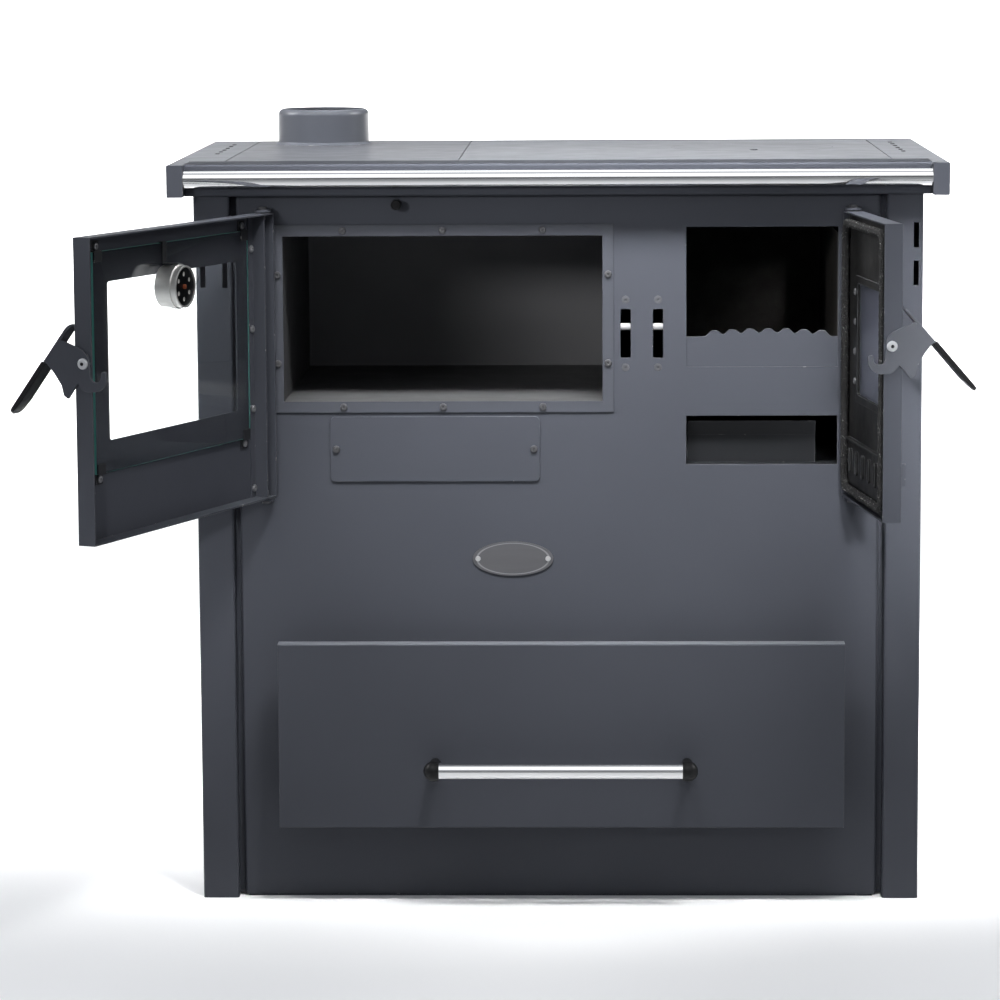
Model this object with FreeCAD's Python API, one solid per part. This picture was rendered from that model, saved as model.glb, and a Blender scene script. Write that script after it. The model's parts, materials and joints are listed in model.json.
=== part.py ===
import FreeCAD, Part
import math
import os

# A wood-burning cookstove: oven on the left, firebox on the right, wood drawer below.
# Millimetres. The stove stands on z = 0, its front faces -Y and its flue rises along +Z.
# The origin is the middle of the casing's footprint. Doors and drawer are modelled ajar.

# Casing
BODY_DEPTH = 540.0
SHEET = 2.0
BEND = 1.5
POST_WIDTH = 42.5
POST_RETURN = 30.0
POST_GAP = 6.65
REAR_FLANGE = 30.0
PANEL_RECESS = 11.0
GROOVE_DEPTH = 9.0
PANEL_LIFT = 2.5

# Heights of the front, from the floor up
PLINTH = 95.0
DRAWER_HEIGHT = 219.0
MIDDLE_PANEL = 169.0
OVEN_RISE = 111.2
OVEN_HEIGHT = 194.3
OVEN_TOP_MARGIN = 28.3
HEADROOM = 57.2

# Vent slots in the posts and in the rim
VENT_WIDTH = 6.0
VENT_LENGTH = 29.0
VENT_PITCH = 44.5
VENT_DROP = 71.0
VENT_COLUMN = 12.9
RIM_VENT_LENGTH = 20.0
RIM_VENT_PITCH = 45.2
RIM_VENT_COUNT = 6
RIM_VENT_BACK = 76.0

# Rim, towel rail and hob
RIM_HEIGHT = 37.6
RIM_OVERHANG = 27.5
RIM_REAR = 17.0
RAIL_WIDTH = 19.0
RAIL_REACH = 30.0
RIM_FLANGE = 60.0
STRIP_REACH = 8.0
STRIP_DEPTH = 65.0
REAR_STRIP = 34.5
REAR_STRIP_FLUE = 10.5
TOWEL_RADIUS = 10.0
TOWEL_WALL = 1.2
TOWEL_DROP = 17.0
TOWEL_GAP = 1.0
HOB_THICKNESS = 8.0
HOB_GAP = 1.5
HOB_SEAM = 273.7
LID_RADIUS = 100.0
LID_PLAY = 0.6
LID_LEDGE = 6.0
LID_BACK = 80.0
LIFT_SLOT_LENGTH = 24.0
LIFT_SLOT_WIDTH = 10.0
LIFT_SLOT_DEPTH = 4.0
LIFT_SLOT_INSET = 30.0

# Flue collar and damper
FLUE_RADIUS = 58.0
FLUE_WALL = 3.0
FLUE_HEIGHT = 45.0
FLUE_SHOULDER = 7.5
FLUE_INSET = 86.0
FLUE_REAR_GAP = 65.0
FLUE_HOLE = 45.0
WELD_BEAD = 3.5
DAMPER_DEPTH = 96.0
DAMPER_MARGIN = 10.0
DAMPER_THICKNESS = 3.0
DAMPER_HANG = 5.0
DAMPER_VENT = 15.0
DAMPER_TRAVEL = 110.0
DAMPER_ROD_RADIUS = 4.0
DAMPER_ARM = 8.0
DAMPER_KNOB_RADIUS = 6.0
DAMPER_KNOB_LENGTH = 15.0
DAMPER_KNOB_OFFSET = 53.0
DAMPER_KNOB_DROP = 48.4
GUIDE_LIP = 8.0

# Oven and smoke box
OVEN_WIDTH = 374.0
OVEN_DEPTH = 410.0
OVEN_FLANGE = 13.0
OVEN_HINGE_MARGIN = 29.3
OVEN_FREE_MARGIN = 24.7
LINER_SHEET = 1.5
OVEN_SCREW_PITCH = 117.0
OVEN_SIDE_SCREWS = 104.3
SMOKE_PLATE = 3.0
SMOKE_DROP = 101.0
SMOKE_REAR_GAP = 5.0
COVER_WIDTH = 246.3
COVER_HEIGHT = 76.5
COVER_DROP = 18.0
COVER_CORNER = 6.0
COVER_LAP = 14.0
COVER_OFFSET = 11.5
NAME_WIDTH = 95.0
NAME_HEIGHT = 41.0
NAME_THICKNESS = 1.5
NAME_DROP = 75.6
NAME_OFFSET = 81.0
NAME_RIVETS = 82.6
RIVET_RADIUS = 3.2
RIVET_HEIGHT = 1.6

# Firebox and ash pan
FIRE_WIDTH = 177.0
FIRE_RISE = 151.0
FIRE_TOP_MARGIN = 18.8
FIRE_HINGE_MARGIN = 24.3
FIRE_FREE_MARGIN = 30.7
FIREBOX_DEPTH = 410.0
LINING = 16.0
LINING_HEIGHT = 205.0
LINING_FRONT_GAP = 5.0
GRATE_LEDGE = 4.0
GRATE_THICKNESS = 12.0
GRATE_LENGTH = 260.0
GRATE_WIDTH = 140.0
GRATE_LAP = 8.0
GRATE_SLOT = 9.0
GRATE_PITCH = 20.0
GRATE_RIM = 14.0
SMOKE_PASS = 74.0
GUARD_THICKNESS = 4.0
GUARD_RISE = 35.4
GUARD_FIRST = 33.0
GUARD_PITCH = 20.9
GUARD_CRESTS = 7
CREST_HEIGHT = 6.0
CREST_WIDTH = 7.0
CREST_ROUND = 3.5
GUARD_ARCH = 3.2
ASH_RISE = 36.0
ASH_HEIGHT = 57.5
ASH_PAN_WIDTH = 150.0
ASH_PAN_LENGTH = 330.0
ASH_PAN_WALL = 33.0
ASH_PAN_LIP = 17.0
ASH_PAN_LEAN = 8.0
ASH_PAN_SET_BACK = 15.0
ASH_PAN_SIDE = 2.0
SLIDE_GAP = 0.3

# Drawer
DRAWER_WIDTH = 664.0
DRAWER_OFFSET = 2.5
DRAWER_PAN = 22.0
DRAWER_SHEET = 1.8
DRAWER_AJAR = 33.0
DRAWER_BOX_WIDTH = 600.0
DRAWER_BOX_HEIGHT = 182.0
DRAWER_BOX_RISE = 13.3
DRAWER_BACK_GAP = 66.0
DRAWER_PLAY = 6.0
RUNNER_LEDGE = 20.0
RUNNER_GUIDE = 30.0
HANDLE_LENGTH = 283.5
HANDLE_RADIUS = 9.7
HANDLE_WALL = 1.2
HANDLE_STAND = 45.0
HANDLE_RISE = 77.3
HANDLE_SOCKET = 6.0
BALL_RADIUS = 12.0
FOOT_RADIUS = 6.5

# Doors, hinges and latches; u runs from the hinge edge, v outward from the inner rim
DOOR_DEPTH = 21.2
DOOR_SHEET = 1.8
DOOR_EDGE = 1.6
DOOR_GAP = 42.5
DOOR_SIDE_GAP = 24.6
OVEN_DOOR_ANGLE = 112.6
FIRE_DOOR_ANGLE = 97.9
HINGE_STANDOFF = 14.0
PIN_INSET = 8.0
PIN_DEPTH = 10.2
PIN_RADIUS = 3.0
PIN_PLAY = 0.05
PIN_HEAD = 5.0
PIN_REACH = 6.0
EAR_THICKNESS = 3.0
EAR_WIDTH = 18.0
EAR_GAP = 1.2
EAR_ROUND = 7.2
WINDOW_CORNER = 4.0
OVEN_WINDOW_HINGE = 63.0
OVEN_WINDOW_FREE = 66.5
OVEN_WINDOW_RISE = 107.7
OVEN_WINDOW_TOP = 52.6
OVEN_GLASS_HINGE_LAP = 26.5
OVEN_GLASS_FREE_LAP = 33.5
OVEN_GLASS_LAP = 34.0
GLASS = 4.0
CLIP_WIDTH = 16.0
CLIP_SHEET = 1.2
CLIP_LAP = 11.0
CLIP_FOOT = 12.0
CLIP_INSET = 10.0
STRIP_UPRIGHT = 19.0
STRIP_BASE = 12.0
STRIP_RIM_GAP = 2.0
STRIP_SCREW_INSET = 6.5
STRIP_SCREW_RISE = 12.8
STRIP_SCREW_DROP = 40.6
STRIP_SCREWS = 4
THERMO_RADIUS = 25.0
THERMO_LENGTH = 27.0
THERMO_BACK_RADIUS = 21.5
THERMO_RING = 7.0
THERMO_U = 237.0
THERMO_DROP = 14.5
THERMO_HOLE = 2.6
THERMO_HOLE_RING = 14.0
THERMO_HOLES = 6
HANGER_WIDTH = 9.0
HANGER_SHEET = 1.0
FIRE_WINDOW_HINGE = 58.0
FIRE_WINDOW_FREE = 46.0
FIRE_WINDOW_RISE = 125.0
FIRE_WINDOW_TOP = 79.8
FIRE_GLASS_LAP = 8.0
FRAME_SHEET = 2.0
FRAME_DEPTH = 7.0
FRAME_RELIEF = 2.0
FRAME_RIM = 8.5
FRAME_RIM_HEIGHT = 1.5
FRAME_SCREW_LAP = 15.0
FRAME_SCREW_PITCH = 34.5
FRAME_SCREW_DROP = 11.0
FRAME_SCREWS = 4
ROPE_RADIUS = 5.0
ROPE_HINGE_INSET = 7.2
ROPE_FREE_INSET = 15.0
ROPE_EDGE_INSET = 12.5
ROPE_CORNER = 14.0
ROPE_PROUD = 3.4
VENT_FIELD_RISE = 71.0
VENT_FIELD_GAP = 1.0
VENT_FIELD_LIP = 5.0
VENT_COLLAR = 5.0
VENT_COLLAR_WALL = 2.0
AIR_SLOT_WIDTH = 7.0
AIR_SLOT_HEIGHT = 24.0
AIR_SLOT_PITCH = 35.0
AIR_SLOTS = 5
AIR_FIRST = 32.0
AIR_RISE = 46.0
AIR_TRAVEL = 17.5
AIR_PLATE = 2.0
AIR_PLATE_LAP = 9.0
AIR_TAB = 16.0
AIR_TAB_WIDTH = 26.0
AIR_GUIDE = 7.0
AIR_GUIDE_LIP = 4.0

# Latch levers: the outline is laid out about the pivot, v outward and z up
LATCH_V = 8.5
LATCH_RISE = 198.5
LEVER_SHEET = 3.0
LEVER_WASHER = 0.8
LEVER_OUTLINE = (
    (25.5, 26.8, 0.0), (-7.2, 12.0, 18.0), (-7.4, -20.5, 6.4), (-20.8, -20.5, 6.4),
    (-20.8, -9.5, 2.7), (-26.8, -9.5, 2.7), (-26.8, -31.0, 15.0), (3.0, -31.0, 13.0),
    (8.3, -20.5, 1.0), (22.0, -37.3, 1.0), (27.0, -33.2, 1.0), (29.0, -22.0, 8.0),
    (37.0, -8.5, 6.0), (46.3, 3.3, 0.0),
)
LEVER_TILT_ANGLE = 40.8
OVEN_LEVER_ANGLE = 4.0
FIRE_LEVER_ANGLE = 0.0
LEVER_OFFSET = 37.0
LEVER_TAB = 22.0
LEVER_TAB_CORNER = 8.0
LEVER_STRIP_WIDTH = 20.0
LEVER_PLATE_END = 28.0
LEVER_TONGUE = 62.0
TONGUE_WIDTH = 12.0
GRIP_LENGTH = 72.0
GRIP_WIDTH = 22.0
GRIP_THICKNESS = 5.8
GRIP_TIP = 3.8
GRIP_TAPER = 20.0
GRIP_CORNER = 8.0
GRIP_EDGE = 1.0
GRIP_GAP = 1.5
KEEPER_PLATE = 3.0
KEEPER_REACH = 17.0
KEEPER_MARGIN = 2.0
KEEPER_WINDOW_MARGIN = 3.0
KEEPER_EAR_HEIGHT = 33.0
SLOT_WIDTH = 12.0
SLOT_HEIGHT = 57.4
SLOT_DROP = 8.0
ROLLER_RADIUS = 4.0
ROLLER_GAP = 0.4
ROLLER_DROP = 0.5
KEEPER_SCREWS = 79.6

# Fasteners
SCREW_RADIUS = 2.0
SCREW_HEAD = 4.2
SCREW_HEAD_HEIGHT = 2.4
SCREW_HEAD_ROUND = 1.4
SCREW_SOCKET = 1.5
SCREW_SOCKET_DEPTH = 1.2
SCREW_LENGTH = 12.0
SCREW_PLAY = 0.05
SINK_RADIUS = 4.6
PIVOT_RADIUS = 3.0
PIVOT_HEAD = 6.0
PIVOT_HEAD_HEIGHT = 3.0
PIVOT_HEAD_ROUND = 2.1
PIVOT_SOCKET = 1.7
PIVOT_WASHER = 7.0
PIVOT_NUT = 4.5
PIVOT_NUT_HEIGHT = 1.5
RIM_SCREW_RISE = 12.0
RIM_SCREW_FRONT = 50.0
RIM_SCREW_BACK = 60.0
BACK_SCREWS = (150.0, 430.0, 710.0)
BACK_SCREW_INSET = 14.0

V = FreeCAD.Vector
UP = V(0, 0, 1)
RIGHT = V(1, 0, 0)
BACK = V(0, 1, 0)
TINY = 1e-6
THROUGH = 60.0
SLOT_END = 0.49

# Places worked out from the driving dimensions
oven_door_width = OVEN_HINGE_MARGIN + OVEN_WIDTH + OVEN_FREE_MARGIN
fire_door_width = FIRE_HINGE_MARGIN + FIRE_WIDTH + FIRE_FREE_MARGIN
x_panel = DOOR_SIDE_GAP + (oven_door_width + DOOR_GAP + fire_door_width) / 2
x_post = x_panel + POST_GAP
x_side = x_post + POST_WIDTH
x_rim = x_side + RIM_OVERHANG
x_rail = x_rim - RAIL_WIDTH
x_flange = x_rim - RIM_FLANGE
y_front = -BODY_DEPTH / 2
y_back = BODY_DEPTH / 2
y_panel = y_front + PANEL_RECESS
y_inside = y_panel + SHEET
y_strip = y_front - STRIP_REACH
y_hob = y_strip + STRIP_DEPTH
y_rim_rear = y_back + RIM_REAR
y_back_panel = y_back - 2 * SHEET
y_smoke_back = y_back_panel - SMOKE_REAR_GAP
drawer_top = PLINTH + DRAWER_HEIGHT
door_bottom = drawer_top + MIDDLE_PANEL
door_height = OVEN_RISE + OVEN_HEIGHT + OVEN_TOP_MARGIN
door_top = door_bottom + door_height
rim_top = door_top + HEADROOM
rim_bottom = rim_top - RIM_HEIGHT
casing_top = rim_top - SHEET
hob_bottom = rim_top - HOB_THICKNESS
oven_left = -x_panel + DOOR_SIDE_GAP + OVEN_HINGE_MARGIN
oven_right = oven_left + OVEN_WIDTH
oven_middle = (oven_left + oven_right) / 2
oven_floor = door_bottom + OVEN_RISE
oven_top = oven_floor + OVEN_HEIGHT
fire_right = x_panel - DOOR_SIDE_GAP - FIRE_HINGE_MARGIN
fire_left = fire_right - FIRE_WIDTH
fire_middle = (fire_left + fire_right) / 2
fire_sill = door_bottom + FIRE_RISE
fire_top = door_top - FIRE_TOP_MARGIN
ash_sill = door_bottom + ASH_RISE
shell_left = fire_left - LINING
shell_right = fire_right + LINING
shell_back = y_inside + FIREBOX_DEPTH
grate_top = ash_sill + ASH_HEIGHT + 2 * GRATE_LEDGE
smoke_floor = oven_floor - SMOKE_DROP
pin_y = y_panel - HINGE_STANDOFF
rim_y = pin_y + PIN_DEPTH
latch_z = door_bottom + LATCH_RISE
slot_z = latch_z - SLOT_DROP
roller_y = y_inside + ROLLER_RADIUS + ROLLER_GAP
roller_z = latch_z - ROLLER_DROP
hob_left = -x_flange + HOB_GAP
seam_x = hob_left + HOB_SEAM
flue_x = hob_left + FLUE_INSET
flue_y = y_rim_rear - REAR_STRIP_FLUE - FLUE_REAR_GAP
cover_left = oven_left + OVEN_FLANGE + COVER_OFFSET + OVEN_HINGE_MARGIN
cover_top = oven_floor - COVER_DROP
name_x = oven_middle + NAME_OFFSET
name_z = door_bottom - NAME_DROP
drawer_face = y_panel - DRAWER_PAN - DRAWER_AJAR
damper_x = oven_middle - DAMPER_KNOB_OFFSET
damper_z = rim_top - DAMPER_KNOB_DROP


def block(x0, x1, y0, y1, z0, z1):
    return Part.makeBox(x1 - x0, y1 - y0, z1 - z0, V(x0, y0, z0))


def round_bar(start, direction, radius, length):
    return Part.makeCylinder(radius, length, start, direction)


def corner(before, point, after):
    """Start, middle and end of one corner of an outline; the middle is None at a sharp corner."""
    here = point[:2]
    radius = point[2] if len(point) > 2 else 0.0
    if radius < TINY:
        return here, None, here
    reach = []
    for other in (before, after):
        span = math.dist(other[:2], here)
        reach.append(((other[0] - here[0]) / span, (other[1] - here[1]) / span))
    half = math.acos(max(-1.0, min(1.0, reach[0][0] * reach[1][0] + reach[0][1] * reach[1][1]))) / 2
    tangent = radius / math.tan(half)
    start, end = ((here[0] + a * tangent, here[1] + b * tangent) for a, b in reach)
    middle_way = (reach[0][0] + reach[1][0], reach[0][1] + reach[1][1])
    scale = (radius / math.sin(half) - radius) / math.hypot(*middle_way)
    middle = (here[0] + middle_way[0] * scale, here[1] + middle_way[1] * scale)
    return start, middle, end


def outline(points, place):
    """Closed wire through points (a, b) or (a, b, corner radius), laid out by place(a, b)."""
    count = len(points)
    corners = [corner(points[i - 1], points[i], points[(i + 1) % count]) for i in range(count)]
    edges = []
    for i, (start, middle, end) in enumerate(corners):
        following = corners[(i + 1) % count][0]
        if middle is not None:
            edges.append(Part.Arc(place(*start), place(*middle), place(*end)).toShape())
        if math.dist(end, following) > TINY:
            edges.append(Part.LineSegment(place(*end), place(*following)).toShape())
    return Part.Wire(edges)


def prism(points, place, along):
    return Part.Face(outline(points, place)).extrude(along)


def folded(path, thickness, bend):
    """Outline of a folded sheet: path is one skin, the sheet lies on its left, bend is the inner radius."""
    ways = []
    for (a0, b0), (a1, b1) in zip(path, path[1:]):
        span = math.hypot(a1 - a0, b1 - b0)
        ways.append(((a1 - a0) / span, (b1 - b0) / span))
    near, far = [], []
    for i, (a, b) in enumerate(path):
        into = ways[max(i - 1, 0)]
        out = ways[min(i, len(ways) - 1)]
        share = thickness / (1 + into[0] * out[0] + into[1] * out[1])
        far_a = a - (into[1] + out[1]) * share
        far_b = b + (into[0] + out[0]) * share
        turn = into[0] * out[1] - into[1] * out[0]
        near_radius = far_radius = 0.0
        if abs(turn) > TINY:
            near_radius = bend + thickness if turn > 0 else bend
            far_radius = bend if turn > 0 else bend + thickness
        near.append((a, b, near_radius))
        far.append((far_a, far_b, far_radius))
    return near + far[::-1]


def rectangle(a0, a1, b0, b1, radius):
    return [(a0, b0, radius), (a1, b0, radius), (a1, b1, radius), (a0, b1, radius)]


def flat(z):
    return lambda a, b: V(a, b, z)


def upright(y):
    return lambda a, b: V(a, y, b)


def sideways(x):
    return lambda a, b: V(x, a, b)


def mirrored(shape):
    return shape.mirror(V(0, 0, 0), RIGHT)


def hex_bar(centre, direction, across, length):
    """Hexagonal bar with its corners at the given radius."""
    points = []
    side = direction.cross(V(direction.z, direction.x, direction.y))
    other = direction.cross(side)
    for k in range(6):
        angle = math.radians(60 * k)
        points.append(centre + side * (across * math.cos(angle)) + other * (across * math.sin(angle)))
    return Part.Face(Part.makePolygon(points + points[:1])).extrude(direction * length)


def pan_screw(seat, outward, shank):
    """Round-headed screw: seat is the middle of the surface under its head."""
    head = round_bar(seat, outward, SCREW_HEAD, SCREW_HEAD_HEIGHT)
    rim = [e for e in head.Edges if abs((e.CenterOfMass - seat).dot(outward) - SCREW_HEAD_HEIGHT) < TINY]
    head = head.makeFillet(SCREW_HEAD_ROUND, rim)
    socket = hex_bar(seat + outward * (SCREW_HEAD_HEIGHT - SCREW_SOCKET_DEPTH), outward, SCREW_SOCKET,
                     SCREW_SOCKET_DEPTH)
    return head.cut(socket).fuse(round_bar(seat, outward * -1, SCREW_RADIUS, shank)).removeSplitter()


def screw_hole(seat, outward):
    start = seat - outward * (THROUGH / 2)
    return round_bar(start, outward, SCREW_RADIUS + SCREW_PLAY, THROUGH)


def drilled(shape, seats, outward):
    """Shape with a screw hole at each seat; the holes reach only a little way past the seat."""
    for seat in seats:
        start = seat - outward * SCREW_LENGTH
        hole = round_bar(start, outward, SCREW_RADIUS + SCREW_PLAY, SCREW_LENGTH + SCREW_HEAD_HEIGHT)
        shape = shape.cut(hole)
    return shape


def slots(shape, places, place, width, length, along):
    """Shape cut by upright round-ended slots whose middles are places."""
    for a, b in places:
        points = rectangle(a - width / 2, a + width / 2, b - length / 2, b + length / 2, width * SLOT_END)
        shape = shape.cut(prism(points, place, along))
    return shape


class Door:
    """One side-hinged door, laid out shut and swung to its open place."""

    def __init__(self, into, width, angle, lever_angle):
        self.into = into
        self.width = width
        self.angle = angle
        self.lever_angle = lever_angle
        self.edge_x = -into * (x_panel - DOOR_SIDE_GAP)
        self.pin_x = self.edge_x + into * PIN_INSET
        self.plate_x = self.x(width + LEVER_WASHER)

    def x(self, u):
        return self.edge_x + self.into * u

    def y(self, v):
        return rim_y - v

    def block(self, u0, u1, v0, v1, z0, z1):
        low, high = sorted((self.x(u0), self.x(u1)))
        return block(low, high, self.y(v1), self.y(v0), z0, z1)

    def opened(self, shape):
        shape = shape.copy()
        shape.rotate(V(self.pin_x, pin_y, 0), UP, -self.into * self.angle)
        return shape

    def dropped(self, shape):
        """A lever's shape turned about its pivot, the hook up and the grip down."""
        shape = shape.copy()
        shape.rotate(V(0, self.y(LATCH_V), latch_z), RIGHT, self.lever_angle)
        return shape

    def slot_x(self):
        return self.plate_x + self.into * LEVER_SHEET / 2


oven_door = Door(1, oven_door_width, OVEN_DOOR_ANGLE, OVEN_LEVER_ANGLE)
fire_door = Door(-1, fire_door_width, FIRE_DOOR_ANGLE, FIRE_LEVER_ANGLE)
doors = (oven_door, fire_door)


def oven_screw_seats():
    """Seats of the screws on the oven's front flange."""
    y = y_panel - LINER_SHEET
    middle = OVEN_FLANGE / 2
    seats = []
    for z in (oven_floor - middle, oven_top + middle):
        for k in (-1, 0, 1):
            seats.append(V(oven_middle + k * OVEN_SCREW_PITCH, y, z))
    for x in (oven_left - middle, oven_right + middle):
        for k in (-1, 1):
            seats.append(V(x, y, (oven_floor + oven_top) / 2 + k * OVEN_SIDE_SCREWS / 2))
    return seats


def cover_screw_seats():
    z = cover_top - COVER_HEIGHT / 2
    inset = COVER_LAP / 2
    return [V(x, y_panel - SHEET, z) for x in (cover_left + inset, cover_left + COVER_WIDTH - inset)]


def keeper_screw_seats():
    seats = []
    for door in doors:
        for k in (-1, 1):
            seats.append(V(door.slot_x(), y_panel, slot_z + k * KEEPER_SCREWS / 2))
    return seats


def rivet_seats():
    return [V(name_x + k * NAME_RIVETS / 2, y_panel - NAME_THICKNESS, name_z) for k in (-1, 1)]


def rim_screw_seats(side):
    z = rim_bottom + RIM_SCREW_RISE
    return [V(side * x_rim, y, z) for y in (y_front - RAIL_REACH + RIM_SCREW_FRONT, y_back - RIM_SCREW_BACK)]


def back_screw_seats(side):
    return [V(side * (x_side - BACK_SCREW_INSET), y_back, z) for z in BACK_SCREWS]


def side_panel():
    """Right side: a sheet folded round the front into a vented post, and in at the back."""
    path = [(x_post, y_front + POST_RETURN), (x_post, y_front), (x_side, y_front),
            (x_side, y_back), (x_side - REAR_FLANGE, y_back)]
    panel = prism(folded(path, SHEET, BEND), flat(0), UP * casing_top)
    top_slot = rim_top - VENT_DROP - VENT_LENGTH / 2
    post_middle = x_side - POST_WIDTH / 2
    places = [(post_middle + c * VENT_COLUMN, top_slot - r * VENT_PITCH) for c in (-1, 1) for r in (0, 1)]
    for x, z in places:
        half = VENT_WIDTH / 2
        panel = panel.cut(block(x - half, x + half, y_front - SHEET, y_front + 2 * SHEET,
                                z - VENT_LENGTH / 2, z + VENT_LENGTH / 2))
    return drilled(panel, back_screw_seats(1), BACK)


def front_panel():
    """Recessed front sheet, folded back beside each post and out again to rest on it."""
    y_groove = y_panel + GROOVE_DEPTH
    path = [(-x_post, y_groove), (-x_panel, y_groove), (-x_panel, y_panel), (x_panel, y_panel),
            (x_panel, y_groove), (x_post, y_groove)]
    panel = prism(folded(path, SHEET, BEND), flat(PANEL_LIFT), UP * (casing_top - PANEL_LIFT))
    y0, y1 = y_panel - SHEET, y_inside + SHEET
    liner = LINER_SHEET + SLIDE_GAP
    box_left = DRAWER_OFFSET - DRAWER_BOX_WIDTH / 2
    box_bottom = PLINTH + DRAWER_BOX_RISE
    openings = [
        block(oven_left - liner, oven_right + liner, y0, y1, oven_floor - liner, oven_top + liner),
        block(fire_left, fire_right, y0, y1, fire_sill, fire_top),
        block(fire_left, fire_right, y0, y1, ash_sill, ash_sill + ASH_HEIGHT),
        block(box_left - DRAWER_PLAY, box_left + DRAWER_BOX_WIDTH + DRAWER_PLAY, y0, y1,
              box_bottom - DRAWER_PLAY, box_bottom + DRAWER_BOX_HEIGHT + DRAWER_PLAY),
        block(cover_left + COVER_LAP, cover_left + COVER_WIDTH - COVER_LAP, y0, y1,
              cover_top - COVER_HEIGHT + COVER_LAP, cover_top - COVER_LAP),
        round_bar(V(damper_x, y0, damper_z), BACK, DAMPER_ROD_RADIUS + PIN_PLAY, y1 - y0),
    ]
    for door in doors:
        x = door.slot_x()
        openings.append(prism(rectangle(x - SLOT_WIDTH / 2, x + SLOT_WIDTH / 2, slot_z - SLOT_HEIGHT / 2,
                                        slot_z + SLOT_HEIGHT / 2, DOOR_EDGE), upright(y0), BACK * (y1 - y0)))
    for opening in openings:
        panel = panel.cut(opening)
    panel = drilled(panel, oven_screw_seats() + cover_screw_seats() + rivet_seats(), BACK * -1)
    for seat in keeper_screw_seats():
        sink = Part.makeCone(SINK_RADIUS + SCREW_PLAY, SCREW_RADIUS + SCREW_PLAY, SHEET, seat, BACK)
        panel = panel.cut(sink)
    return panel


def back_panel():
    inner = x_side - SHEET - BEND
    panel = block(-inner, inner, y_back_panel, y_back - SHEET, PANEL_LIFT, hob_bottom)
    return drilled(panel, back_screw_seats(1) + back_screw_seats(-1), BACK)


def base_panel():
    """Floor sheet between the side panels, with a tab that reaches between the posts."""
    inner = x_side - SHEET
    y_post = y_front + POST_RETURN + SHEET
    x_tab = x_panel - 2 * SHEET
    sheet = block(-inner, inner, y_post, y_back_panel, 0, SHEET)
    tab = block(-x_tab, x_tab, y_inside, y_post, 0, SHEET)
    return sheet.fuse(tab).removeSplitter()


def rim_rail(y_flange_end):
    """Right rim rail: a box section with a slotted flange that rests on the side panel."""
    y_nose = y_front - RAIL_REACH
    tube = block(x_rail, x_rim, y_nose, y_rim_rear, rim_bottom, rim_top)
    tube = tube.makeFillet(BEND, [e for e in tube.Edges if abs(e.tangentAt(e.FirstParameter).y) > 1 - TINY])
    hollow = block(x_rail + SHEET, x_rim - SHEET, y_nose + SHEET, y_rim_rear,
                   rim_bottom + SHEET, rim_top - SHEET)
    flange = block(x_flange, x_rail + SHEET, y_hob, y_flange_end, casing_top, rim_top)
    rail = tube.fuse(flange).cut(hollow)
    x = (x_side + x_flange + RAIL_WIDTH) / 2
    first = RIM_VENT_BACK - (RIM_VENT_COUNT - 1) * RIM_VENT_PITCH / 2
    places = [(x, first + k * RIM_VENT_PITCH) for k in range(RIM_VENT_COUNT)]
    rail = slots(rail, places, flat(casing_top - SHEET), VENT_WIDTH, RIM_VENT_LENGTH, UP * (3 * SHEET))
    return drilled(rail, rim_screw_seats(1), RIGHT)


def rim_front_strip():
    path = [(y_hob, rim_top), (y_strip, rim_top), (y_strip, rim_bottom), (y_front, rim_bottom)]
    return prism(folded(path, SHEET, BEND), sideways(-x_rail), RIGHT * (2 * x_rail))


def rim_rear_strip():
    leg = block(-x_rail, x_rail, y_rim_rear - SHEET, y_rim_rear, rim_bottom, rim_top)
    narrow = block(-x_rail, x_rail, y_rim_rear - REAR_STRIP_FLUE, y_rim_rear, casing_top, rim_top)
    wide = block(seam_x + HOB_GAP, x_rail, y_rim_rear - REAR_STRIP, y_rim_rear, casing_top, rim_top)
    return leg.fuse(narrow).fuse(wide).removeSplitter()


def towel_rail():
    y = y_strip - TOWEL_GAP - TOWEL_RADIUS
    start = V(-x_rail, y, rim_top - TOWEL_DROP)
    tube = round_bar(start, RIGHT, TOWEL_RADIUS, 2 * x_rail)
    return tube.cut(round_bar(start, RIGHT, TOWEL_RADIUS - TOWEL_WALL, 2 * x_rail))


def hob_plate_left():
    y1 = y_rim_rear - REAR_STRIP_FLUE - HOB_GAP
    plate = block(hob_left, seam_x - HOB_GAP / 2, y_hob + HOB_GAP, y1, hob_bottom, rim_top)
    return plate.cut(round_bar(V(flue_x, flue_y, hob_bottom), UP, FLUE_HOLE, HOB_THICKNESS))


def hob_plate_right():
    y1 = y_rim_rear - REAR_STRIP - HOB_GAP
    plate = block(seam_x + HOB_GAP / 2, -hob_left, y_hob + HOB_GAP, y1, hob_bottom, rim_top)
    middle = V(fire_middle, LID_BACK, hob_bottom)
    plate = plate.cut(round_bar(middle, UP, LID_RADIUS - LID_LEDGE, HOB_THICKNESS))
    step = middle + UP * (HOB_THICKNESS / 2)
    return plate.cut(round_bar(step, UP, LID_RADIUS + LID_PLAY, HOB_THICKNESS))


def hob_lid():
    """Round lid in a stepped hole, with a blind slot for the lifting iron."""
    middle = V(fire_middle, LID_BACK, hob_bottom + HOB_THICKNESS / 2)
    lid = round_bar(middle, UP, LID_RADIUS, HOB_THICKNESS / 2)
    plug = LID_RADIUS - LID_LEDGE - LID_PLAY
    lid = lid.fuse(round_bar(middle - UP * (HOB_THICKNESS / 2), UP, plug, HOB_THICKNESS / 2)).removeSplitter()
    y = LID_BACK - LID_RADIUS + LIFT_SLOT_INSET
    return slots(lid, [(fire_middle, y)], flat(rim_top - LIFT_SLOT_DEPTH), LIFT_SLOT_WIDTH, LIFT_SLOT_LENGTH,
                 UP * HOB_THICKNESS)


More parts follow.
